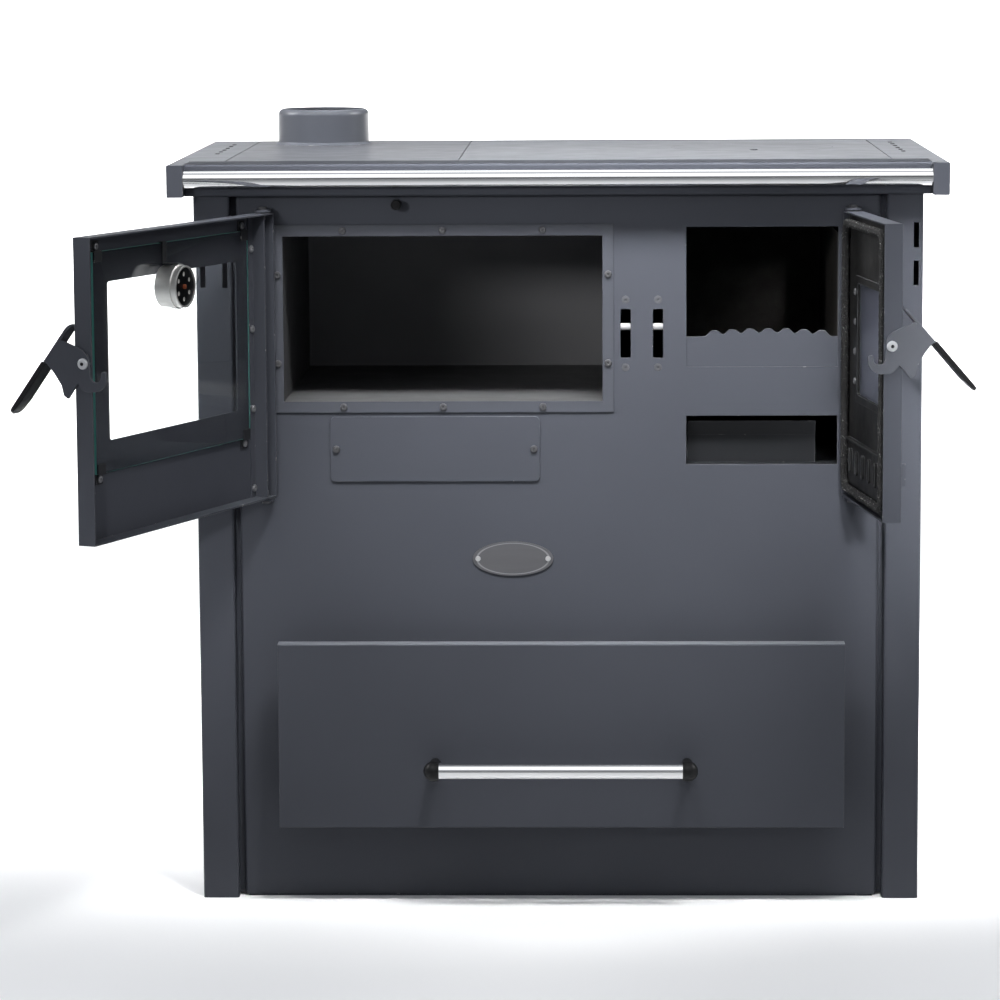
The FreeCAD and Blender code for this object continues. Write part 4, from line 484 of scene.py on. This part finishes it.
def paint(name, colour, shade, rough, grain=PAINT_GRAIN, gloss=0.14, wear=0.5, other=None):
    """Satin stove paint: cloudy tone, fine orange peel, uneven gloss, and rubbed edges with small chips.

    Where other is a direction and a colour, the faces that look that way have that colour."""
    shader = Shader(name)
    base = shader.mix(shader.noise(*PAINT_CLOUDS), shade, colour)
    if other:
        direction, other_colour = other
        base = shader.mix(shader.window(shader.facing(direction), low=0.8, high=0.9), base, other_colour)
    edge = shader.edges(EDGE_WORN)
    rubbed = shader.math("MULTIPLY", edge, shader.window(shader.noise(*PAINT_RUBBED), low=0.42, high=0.72))
    base = shader.mix(shader.math("MULTIPLY", rubbed, wear), base, PAINT_WORN)
    chips = shader.math("MULTIPLY", edge, shader.window(shader.noise(*PAINT_CHIPS), low=0.66, high=0.7))
    base = shader.mix(chips, base, CHIP)
    shader.colour(base)
    sheen = shader.noise(*PAINT_SHEEN)
    shader.roughness(shader.range(sheen, rough - PAINT_SPREAD, rough + PAINT_SPREAD))
    shader.bump(shader.noise(*PAINT_PEEL), grain, strength=0.35)
    shader.set(Specular_IOR_Level=gloss)
    return shader


def rail_paint(node):
    """A side rail of the rim: its top faces take the hob's lighter colour as painted light, and its vents are
    darkened inside as painted shade.
    """
    low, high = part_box(node)
    # Painted light: the rail's top faces take the hob's lighter colour
    shader = paint("paint_" + node, PAINT, PAINT_SHADE, rough=0.42, other=(UP, HOB))
    across = shader.absolute(shader.facing(BACK))
    depth = shader.along((0.0, low[1], 0.0), BACK)
    far_end = high[1] - low[1] - RAIL_END
    between = shader.math("MULTIPLY", shader.window(depth, RAIL_END, RAIL_END + RAIL_END_FADE),
                          shader.window(depth, far_end, far_end - RAIL_END_FADE))
    # Painted shade: the faces inside the vents are darkened
    vent = shader.math("MULTIPLY", shader.window(across, low=0.2, high=0.4), between)
    shader.colour(shader.mix(vent, shader.base(), SOOT_AND_VENT_SHADE))
    return shader


def oven_liner():
    """The oven's sheet: a front flange painted as the panel, dark walls whose darkness is partly painted shade,
    and a back made lighter as painted light.
    """
    shader = Shader("oven_liner")
    walls = shader.mix(shader.noise(*OVEN_CLOUDS), OVEN_SHADE, OVEN)
    outside = shader.mix(shader.noise(*PAINT_CLOUDS), PAINT_SHADE, PAINT)
    low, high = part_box("oven_liner")
    depth = shader.along((0.0, low[1], 0.0), BACK)
    to_back = [high[1] - low[1] - before for before in OVEN_BACK_LIT_FADE]
    # Painted light: the back is lighter than the walls
    inside = shader.mix(shader.window(depth, *to_back), walls, OVEN_BACK_LIT)
    shader.colour(shader.mix(shader.window(depth, *OVEN_FLANGE_FADE), outside, inside))
    shader.roughness(shader.range(shader.noise(*OVEN_SHEEN), low=0.38, high=0.55))
    shader.bump(shader.noise(*OVEN_PEEL), PAINT_GRAIN, strength=0.3)
    return shader


def soot(name):
    """Black baked steel with greyish ash dust in patches."""
    shader = Shader(name)
    patches = shader.window(shader.noise(*SOOT_ASH), low=0.45, high=0.75)
    base = shader.mix(patches, SOOT_AND_VENT_SHADE, DUST)
    worn = shader.math("MULTIPLY", shader.edges(SOOT_EDGE_WORN), SOOT_WEAR)
    shader.colour(shader.mix(worn, base, PAINT_WORN))
    shader.roughness(shader.range(shader.noise(*SOOT_SHEEN), low=0.45, high=0.75))
    shader.bump(shader.noise(*SOOT_GRAIN), depth=0.12 * MM, strength=0.4)
    return shader


def bare_metal(name, colour, shade, rough, stretch=EVEN, relief=0.2, edge=EDGE_ROUND, metallic=1.0):
    """Bare metal with drawn or turned lines."""
    shader = Shader(name)
    lines = shader.noise(*METAL_LINES, stretch)
    shader.colour(shader.mix(lines, shade, colour))
    shader.roughness(shader.range(lines, *(share * rough for share in METAL_SPREAD)))
    shader.bump(lines, depth=0.02 * MM, strength=relief, edge=edge)
    shader.set(Metallic=metallic)
    return shader


def thermometer():
    """Turned aluminium case whose pierced back is black, with a copper rivet in the middle."""
    low, high = oven_door.box("thermometer_case")
    middle = Vector(((low.x + high.x) / 2, high.y, (low.z + high.z) / 2))
    centre = tuple(oven_door.open @ middle)
    shader = bare_metal("thermometer", ALUMINIUM, ALUMINIUM_SHADE, rough=0.36, stretch=TURNED_LINES)
    depth = shader.along(centre, oven_door.turned(BACK))
    reach = shader.distance(centre)
    floor = shader.near(depth, -THERMOMETER_RECESS, THERMOMETER_SLACK)
    disc = shader.math("MULTIPLY", floor, shader.math("LESS_THAN", reach, THERMOMETER_DISC))
    rivet = shader.math("LESS_THAN", reach, THERMOMETER_RIVET)
    shader.colour(shader.mix(rivet, shader.mix(disc, shader.base(), BLACK), COPPER))
    return shader


def pivot_screw(name, joint_name):
    """Bright button screw on a latch's pivot, with painted shade as a black disc at its socket."""
    joint = joints[joint_name]
    shader = bare_metal(name, PIVOT, PIVOT_SHADE, rough=0.36, metallic=0.6)
    # Painted shade: the socket is a black disc
    socket = shader.math("LESS_THAN", shader.reach(joint["pos_m"], joint["axis"]), PIVOT_SOCKET_SHADE)
    shader.colour(shader.mix(socket, shader.base(), BLACK))
    return shader


def name_plate():
    """Bare oval plate: satin grey with a lighter rim line that is a painted highlight."""
    low, high = (Vector(corner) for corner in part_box("name_plate"))
    middle = tuple((low + high) / 2)
    half = (high - low) / 2
    shader = bare_metal("plate_grey", PLATE, PLATE_SHADE, rough=0.45, stretch=PLATE_LINES, metallic=0.75)
    across = shader.math("DIVIDE", shader.along(middle, RIGHT), half.x)
    upward = shader.math("DIVIDE", shader.along(middle, UP), half.z)
    ring = shader.math("ADD", shader.math("POWER", across, 2.0), shader.math("POWER", upward, 2.0))
    # Painted highlight: the lighter line near the rim
    line = shader.near(ring, PLATE_RIM_HIGHLIGHT_PLACE, PLATE_RIM_HIGHLIGHT_SLACK)
    shader.colour(shader.mix(line, shader.base(), PLATE_RIM_HIGHLIGHT))
    return shader


def rope_yarn(name, dark, light):
    """Glass yarn, dark and dusty at random, with bright specks that are painted glints."""
    shader = Shader(name)
    # Painted glints: the brightest specks take the fuzz's light colour
    specks = [(0.35, dark), (0.66, light), (0.74, ROPE_FUZZ_AND_GLINT)]
    shader.colour(shader.ramp(shader.noise(*YARN_SPECKS_AND_GLINTS), specks))
    shader.roughness(shader.range(shader.noise(*YARN_SHEEN), low=0.75, high=0.95))
    shader.bump(shader.noise(*YARN_FIBRES, FIBRE_LINES), depth=0.2 * MM, strength=0.7, edge=0.0)
    return shader


def glass(name, door, pane, tint, haze_and_reflection, rough):
    """Pane with green cut edges; its inner face has a thin film of ash whose bluish colour is a painted
    reflection, and is as etched as rough says.
    """
    low, high = door.box(pane)
    centre = tuple(door.open @ ((low + high) / 2))
    out = door.turned(FRONT)
    shader = Shader(name)
    shader.set(Base_Color=tint, Transmission_Weight=1.0, IOR=1.45)
    smear = shader.noise(*GLASS_SMEARS)
    inside = shader.math("LESS_THAN", shader.along(centre, out), 0.0)
    shader.roughness(shader.math("MULTIPLY", inside, shader.range(smear, *rough)))
    # Layer of ash with a painted reflection in its bluish colour
    film = shader.add("ShaderNodeBsdfDiffuse")
    film.inputs["Color"].default_value = HAZE_AND_REFLECTION
    dust = shader.range(smear, *(share * haze_and_reflection for share in HAZE_SPREAD))
    dusty = shader.add("ShaderNodeMixShader")
    shader.link(shader.math("MULTIPLY", inside, dust), dusty.inputs["Fac"])
    shader.link(shader.surface.outputs["BSDF"], dusty.inputs[1])
    shader.link(film.outputs["BSDF"], dusty.inputs[2])
    edge = shader.add("ShaderNodeBsdfPrincipled")
    edge.inputs["Base Color"].default_value = CUT_EDGE
    edge.inputs["Roughness"].default_value = CUT_EDGE_ROUGH
    both = shader.add("ShaderNodeMixShader")
    shader.link(shader.absolute(shader.facing(out)), both.inputs["Fac"])
    shader.link(edge.outputs["BSDF"], both.inputs[1])
    shader.link(dusty.outputs["Shader"], both.inputs[2])
    shader.link(both.outputs["Shader"], shader.output.inputs["Surface"])
    return shader


def plastic(name, colour, rough):
    """Moulded plastic with a fine grain and little gloss."""
    shader = Shader(name)
    shade = tuple(c * PLASTIC_SHADE_SHARE for c in colour[:3]) + (1.0,)
    shader.colour(shader.mix(shader.noise(*PLASTIC_CLOUDS), shade, colour))
    sheen = shader.noise(*PLASTIC_SHEEN)
    shader.roughness(shader.range(sheen, rough - PLASTIC_SPREAD, rough + PLASTIC_SPREAD))
    shader.bump(shader.noise(*PLASTIC_GRAIN), depth=0.06 * MM, strength=0.4)
    shader.set(Specular_IOR_Level=0.2)
    return shader


def cast_iron(name):
    """Rough iron, blackened by the fire."""
    shader = Shader(name)
    shader.colour(shader.ramp(shader.noise(*IRON_CLOUDS), [(0.3, IRON_SHADE), (0.75, IRON)]))
    shader.roughness(shader.range(shader.noise(*IRON_SHEEN), low=0.6, high=0.85))
    shader.bump(shader.noise(*IRON_GRAIN), depth=0.35 * MM, strength=0.6)
    return shader


def make_materials():
    """One material for each slot, and one for each finish that NODE_FINISH names."""
    return {
        "painted_steel": paint("paint_anthracite", PAINT, PAINT_SHADE, rough=0.42),
        "hob_steel": paint("paint_hob", HOB, HOB_SHADE, rough=0.36, grain=HOB_GRAIN),
        "inner_steel": paint("paint_inner", INNER, INNER_SHADE, rough=0.5),
        "oven_liner": oven_liner(),
        "soot": soot("soot_black"),
        "fastener_steel": bare_metal("zinc", ZINC, ZINC_SHADE, rough=0.3, metallic=0.7),
        "screw_dark": bare_metal("steel_blackened", DARK_STEEL, DARK_STEEL_SHADE, rough=0.3, metallic=0.5),
        "screw_grey": bare_metal("steel_grey", GREY_STEEL, DARK_STEEL, rough=0.3, metallic=0.5),
        "screw_panel": bare_metal("steel_panel", PANEL_STEEL, DARK_STEEL_SHADE, rough=0.3, metallic=0.5),
        "oven_pivot": pivot_screw("zinc_oven_pivot", "oven_latch_pivot"),
        "fire_pivot": pivot_screw("zinc_fire_pivot", "fire_latch_pivot"),
        # the fire latch lever's paint is lightened as painted light
        "lever": paint("paint_lever_lit", LEVER_LIT, LEVER_LIT_DARK, rough=0.38, wear=1.0),
        "chrome": bare_metal("chrome", CHROME, CHROME_SHADE, rough=0.07, stretch=DRAWN_LINES,
                             relief=0.005, edge=0.0),
        "collar": paint("paint_collar", COLLAR, COLLAR_SHADE, rough=0.36, gloss=0.5, wear=0.1),
        # the oven door's inner faces get painted shade
        "oven_door_paint": paint("paint_oven_door", PAINT, PAINT_SHADE, rough=0.36,
                                 other=(oven_door.turned(BACK), DOOR_INSIDE_SHADE)),
        "left_rail_paint": rail_paint("rim_left_rail"),
        "right_rail_paint": rail_paint("rim_right_rail"),
        # the front strip's top face gets painted shade
        "strip_paint": paint("paint_strip", PAINT, PAINT_SHADE, rough=0.5, gloss=0.04, other=(UP, STRIP_TOP_SHADE)),
        # the drawer front's top face gets a painted highlight
        "drawer_paint": paint("paint_drawer", PAINT, PAINT_SHADE, rough=0.42, other=(UP, DRAWER_TOP_HIGHLIGHT)),
        # the left hob plate gets painted shade
        "hob_left": paint("paint_hob_left", HOB_LEFT_SHADED, HOB_LEFT_SHADED_DARK, rough=0.36, grain=HOB_GRAIN),
        "lid": paint("paint_lid", LID, HOB_SHADE, rough=0.36, grain=HOB_GRAIN),
        "oven_lever": paint("paint_oven_lever", PAINT, PAINT_SHADE, rough=0.38, wear=1.0),
        "black_plastic": plastic("plastic_black", PLASTIC, rough=0.36),
        "cast_iron": cast_iron("cast_iron"),
        "name_plate": name_plate(),
        "oven_glass": glass("glass_oven", oven_door, "oven_door_glass", CLEAR, haze_and_reflection=0.01, rough=(0.0, 0.05)),
        "fire_glass": glass("glass_fire", fire_door, "fire_door_glass", SMOKED, haze_and_reflection=0.1, rough=(0.28, 0.34)),
        "thermometer": thermometer(),
        "rope_seal": rope_yarn("rope_yarn", ROPE_YARN_DARK, ROPE_YARN),
        "rope_fuzz": rope_yarn("rope_fuzz", ROPE_FUZZ_DARK, ROPE_FUZZ_AND_GLINT),
    }


def dress_nodes(materials):
    """Every CAD node takes the material of its slot, or the finish named for it."""
    for entry in frame["record"]["subparts"]:
        finish = NODE_FINISH.get(entry["node"], entry["material_slot"])
        mesh = nodes[entry["node"]].data
        mesh.materials.clear()
        mesh.materials.append(materials[finish].material)


class Loop:
    """The rope's path in the door's plane, door shut: a rectangle with round corners, walked by length."""

    def __init__(self):
        low, high = fire_door.box("fire_door_gasket")
        self.rope = (high.y - low.y) / 2
        self.y = (low.y + high.y) / 2
        half_width = (high.x - low.x) / 2 - self.rope
        half_height = (high.z - low.z) / 2 - self.rope
        self.centre = ((low.x + high.x) / 2, (low.z + high.z) / 2)
        self.flat = (half_width - ROPE_CORNER, half_height - ROPE_CORNER)
        self.arc = math.pi / 2 * ROPE_CORNER
        self.length = 4 * (self.flat[0] + self.flat[1]) + 4 * self.arc

    def at(self, s):
        """Point on the path and its outward direction in the door's plane."""
        s %= self.length
        for quarter in range(4):
            run = 2 * self.flat[quarter % 2]
            angle = -math.pi / 2 + quarter * math.pi / 2
            out = (math.cos(angle), math.sin(angle))
            way = (-out[1], out[0])
            if s < run:
                reach = (self.flat[1] if quarter % 2 == 0 else self.flat[0]) + ROPE_CORNER
                step = s - run / 2
                return self.place(out[0] * reach + way[0] * step, out[1] * reach + way[1] * step), out
            s -= run
            if s < self.arc:
                turn = angle + s / ROPE_CORNER
                out_now = (math.cos(turn), math.sin(turn))
                corner = (out[0] + way[0], out[1] + way[1])
                x = corner[0] * self.flat[0] + out_now[0] * ROPE_CORNER
                z = corner[1] * self.flat[1] + out_now[1] * ROPE_CORNER
                return self.place(x, z), out_now
            s -= self.arc
        return self.at(0.0)

    def place(self, x, z):
        return Vector((self.centre[0] + x, self.y, self.centre[1] + z))

    def around(self, s, angle, radius):
        """Point beside the path: angle turns about the path, from outward towards the door's front."""
        point, out = self.at(s)
        outward = Vector((out[0], 0.0, out[1]))
        return point + radius * (math.cos(angle) * outward - math.sin(angle) * Vector(BACK))


def add_tube(points, radii, sides, closed, verts, faces):
    """Appends a tube along points to the mesh lists."""
    first = len(verts)
    count = len(points)
    side_way = None
    for i, point in enumerate(points):
        if closed:
            way = (points[(i + 1) % count] - points[i - 1]).normalized()
        else:
            way = (points[min(i + 1, count - 1)] - points[max(i - 1, 0)]).normalized()
        side_way = side_way - way * side_way.dot(way) if side_way else way.orthogonal()
        side_way.normalize()
        other = way.cross(side_way)
        for k in range(sides):
            angle = 2 * math.pi * k / sides
            verts.append(point + radii[i] * (math.cos(angle) * side_way + math.sin(angle) * other))
    for i in range(count if closed else count - 1):
        here = first + i * sides
        after = first + (i + 1) % count * sides
        for k in range(sides):
            next_k = (k + 1) % sides
            faces.append((here + k, here + next_k, after + next_k, after + k))


def add_yarns(loop, verts, faces):
    """Yarns wound both ways round the loop, over and under each other, on a plain core."""
    turns = round(loop.length / LAY)
    count = int(loop.length / YARN_STEP)
    middle = loop.rope - YARN_RADIUS - YARN_WEAVE
    steps = [loop.length * i / count for i in range(count)]
    for way in (-1, 1):
        for k in range(YARNS_EACH_WAY):
            points = []
            for s in steps:
                phase = 2 * math.pi * turns * s / loop.length
                radius = middle + way * YARN_WEAVE * math.cos(YARNS_EACH_WAY * phase)
                points.append(loop.around(s, way * phase + 2 * math.pi * k / YARNS_EACH_WAY, radius))
            add_tube(points, [YARN_RADIUS] * count, YARN_SIDES, True, verts, faces)
    core = [loop.at(s)[0] for s in steps]
    add_tube(core, [middle - YARN_WEAVE] * count, 2 * YARN_SIDES, True, verts, faces)


def add_fuzz(loop, verts, faces):
    """Loose fibres that stand out of the yarns."""
    chance = random.Random(FUZZ_SEED)
    radii = [FUZZ_RADIUS * taper for taper in FUZZ_TAPER]
    for _ in range(FUZZ_COUNT):
        s = chance.uniform(0.0, loop.length)
        angle = chance.uniform(0.0, 2 * math.pi)
        reach = chance.uniform(*FUZZ_LENGTH)
        lean = chance.uniform(-1.0, 1.0)
        points = []
        for share in FUZZ_SHARES:
            rise = loop.rope - YARN_RADIUS + reach * (FUZZ_RISE * share - FUZZ_BEND * share * share)
            points.append(loop.around(s + lean * reach * share, angle + lean * share * FUZZ_TURN, rise))
        add_tube(points, radii, FUZZ_SIDES, False, verts, faces)


def add_mesh(name, points, faces):
    """A smooth object from mesh lists."""
    mesh = bpy.data.meshes.new(name)
    mesh.from_pydata(points, [], faces)
    for face in mesh.polygons:
        face.use_smooth = True
    thing = bpy.data.objects.new(name, mesh)
    bpy.context.scene.collection.objects.link(thing)
    return thing


def make_rope(yarn, fuzz):
    """Braided rope seal of the fire door, with loose fuzz."""
    loop = Loop()
    verts, faces = [], []
    add_yarns(loop, verts, faces)
    yarn_faces = len(faces)
    add_fuzz(loop, verts, faces)
    rope = add_mesh("rope_braid", [fire_door.open @ v for v in verts], faces)
    for face in rope.data.polygons:
        face.material_index = int(face.index >= yarn_faces)
    rope.data.materials.append(yarn)
    rope.data.materials.append(fuzz)
    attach(rope, "fire_door")
    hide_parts("fire_door_gasket")


def floor_rings():
    """Radius and height of the floor's rings, from its flat part up the curve to the top of the wall."""
    flat = WALL_RADIUS - WALL_CURVE
    rings = []
    for k in range(WALL_STEPS + 1):
        angle = math.pi / 2 * k / WALL_STEPS
        rings.append((flat + WALL_CURVE * math.sin(angle), WALL_CURVE - WALL_CURVE * math.cos(angle)))
    rings.append((WALL_RADIUS, WALL_HEIGHT))
    return rings


def make_floor():
    """Round pale floor that curves up into a low wall."""
    points = [(0.0, 0.0, 0.0)]
    faces = []
    for ring, (radius, z) in enumerate(floor_rings()):
        for side in range(WALL_SIDES):
            turn = 2 * math.pi * side / WALL_SIDES
            points.append((radius * math.cos(turn), radius * math.sin(turn), z))
            here = 1 + ring * WALL_SIDES
            after = (side + 1) % WALL_SIDES
            if ring:
                below = here - WALL_SIDES
                faces.append((below + side, here + side, here + after, below + after))
            else:
                faces.append((0, here + side, here + after))
    floor = add_mesh("studio_floor", points, faces)
    shader = Shader("floor_pale")
    ahead = shader.along((0.0, FLOOR_NEAR, 0.0), FRONT)
    shader.colour(shader.mix(shader.window(ahead, 0.0, FLOOR_FADE), FLOOR_COLOUR, FLOOR_FRONT_COLOUR))
    shader.set(Roughness=0.9, Specular_IOR_Level=0.1)
    floor.data.materials.append(shader.material)


def area_light(name, place, target, width, height, power, spread=180.0, mirrored=True):
    """A lamp turned from place to target; spread narrows its beam, and reflections show it where mirrored."""
    data = bpy.data.lights.new(name, "AREA")
    data.shape = "RECTANGLE"
    data.size = width
    data.size_y = height
    data.energy = power
    data.spread = math.radians(spread)
    light = bpy.data.objects.new(name, data)
    light.visible_glossy = mirrored
    light.location = place
    light.rotation_euler = (Vector(target) - Vector(place)).to_track_quat("-Z", "Y").to_euler()
    bpy.context.scene.collection.objects.link(light)
    return light


def make_lights():
    for light in LIGHTS:
        area_light(*light)
    panel = area_light("mirror_panel", MIRROR_PLACE, MIRROR_TARGET, *MIRROR_SIZE, MIRROR_POWER)
    panel.visible_diffuse = False
    panel.visible_camera = False


def make_sky():
    """World light by height: pale above, a dark band at the horizon, dim below."""
    world = bpy.data.worlds.new("studio_sky")
    world.use_nodes = True
    tree = world.node_tree
    background = tree.nodes["Background"]
    coord = tree.nodes.new("ShaderNodeTexCoord")
    parts = tree.nodes.new("ShaderNodeSeparateXYZ")
    height = tree.nodes.new("ShaderNodeMapRange")
    height.inputs["From Min"].default_value = -1.0
    ramp = tree.nodes.new("ShaderNodeValToRGB")
    fill_ramp(ramp, SKY_STOPS)
    tree.links.new(coord.outputs["Generated"], parts.inputs["Vector"])
    tree.links.new(parts.outputs["Z"], height.inputs["Value"])
    tree.links.new(height.outputs["Result"], ramp.inputs["Fac"])
    tree.links.new(ramp.outputs["Color"], background.inputs["Color"])
    bpy.context.scene.world = world
    bpy.context.scene.view_settings.view_transform = "Standard"


def make_camera():
    """Camera at the photograph's viewing angle."""
    yaw, pitch, roll = (math.radians(a) for a in (CAMERA_YAW, CAMERA_PITCH, CAMERA_ROLL))
    forward = Vector((-math.sin(yaw) * math.cos(pitch), math.cos(yaw) * math.cos(pitch), -math.sin(pitch)))
    right = Vector((math.cos(yaw), math.sin(yaw), 0.0))
    up = right.cross(forward)
    across = right * math.cos(roll) + up * math.sin(roll)
    upward = up * math.cos(roll) - right * math.sin(roll)
    data = bpy.data.cameras.new("camera")
    data.lens = CAMERA_LENS
    data.sensor_width = CAMERA_SENSOR
    camera = bpy.data.objects.new("camera", data)
    axes = Matrix((across, upward, -forward)).transposed()
    camera.matrix_world = Matrix.Translation(Vector(CAMERA_PLACE)) @ axes.to_4x4()
    bpy.context.scene.collection.objects.link(camera)
    bpy.context.scene.camera = camera


def main():
    make_camera()
    make_floor()
    make_lights()
    make_sky()
    materials = make_materials()
    dress_nodes(materials)
    make_rope(materials["rope_seal"].material, materials["rope_fuzz"].material)


main()
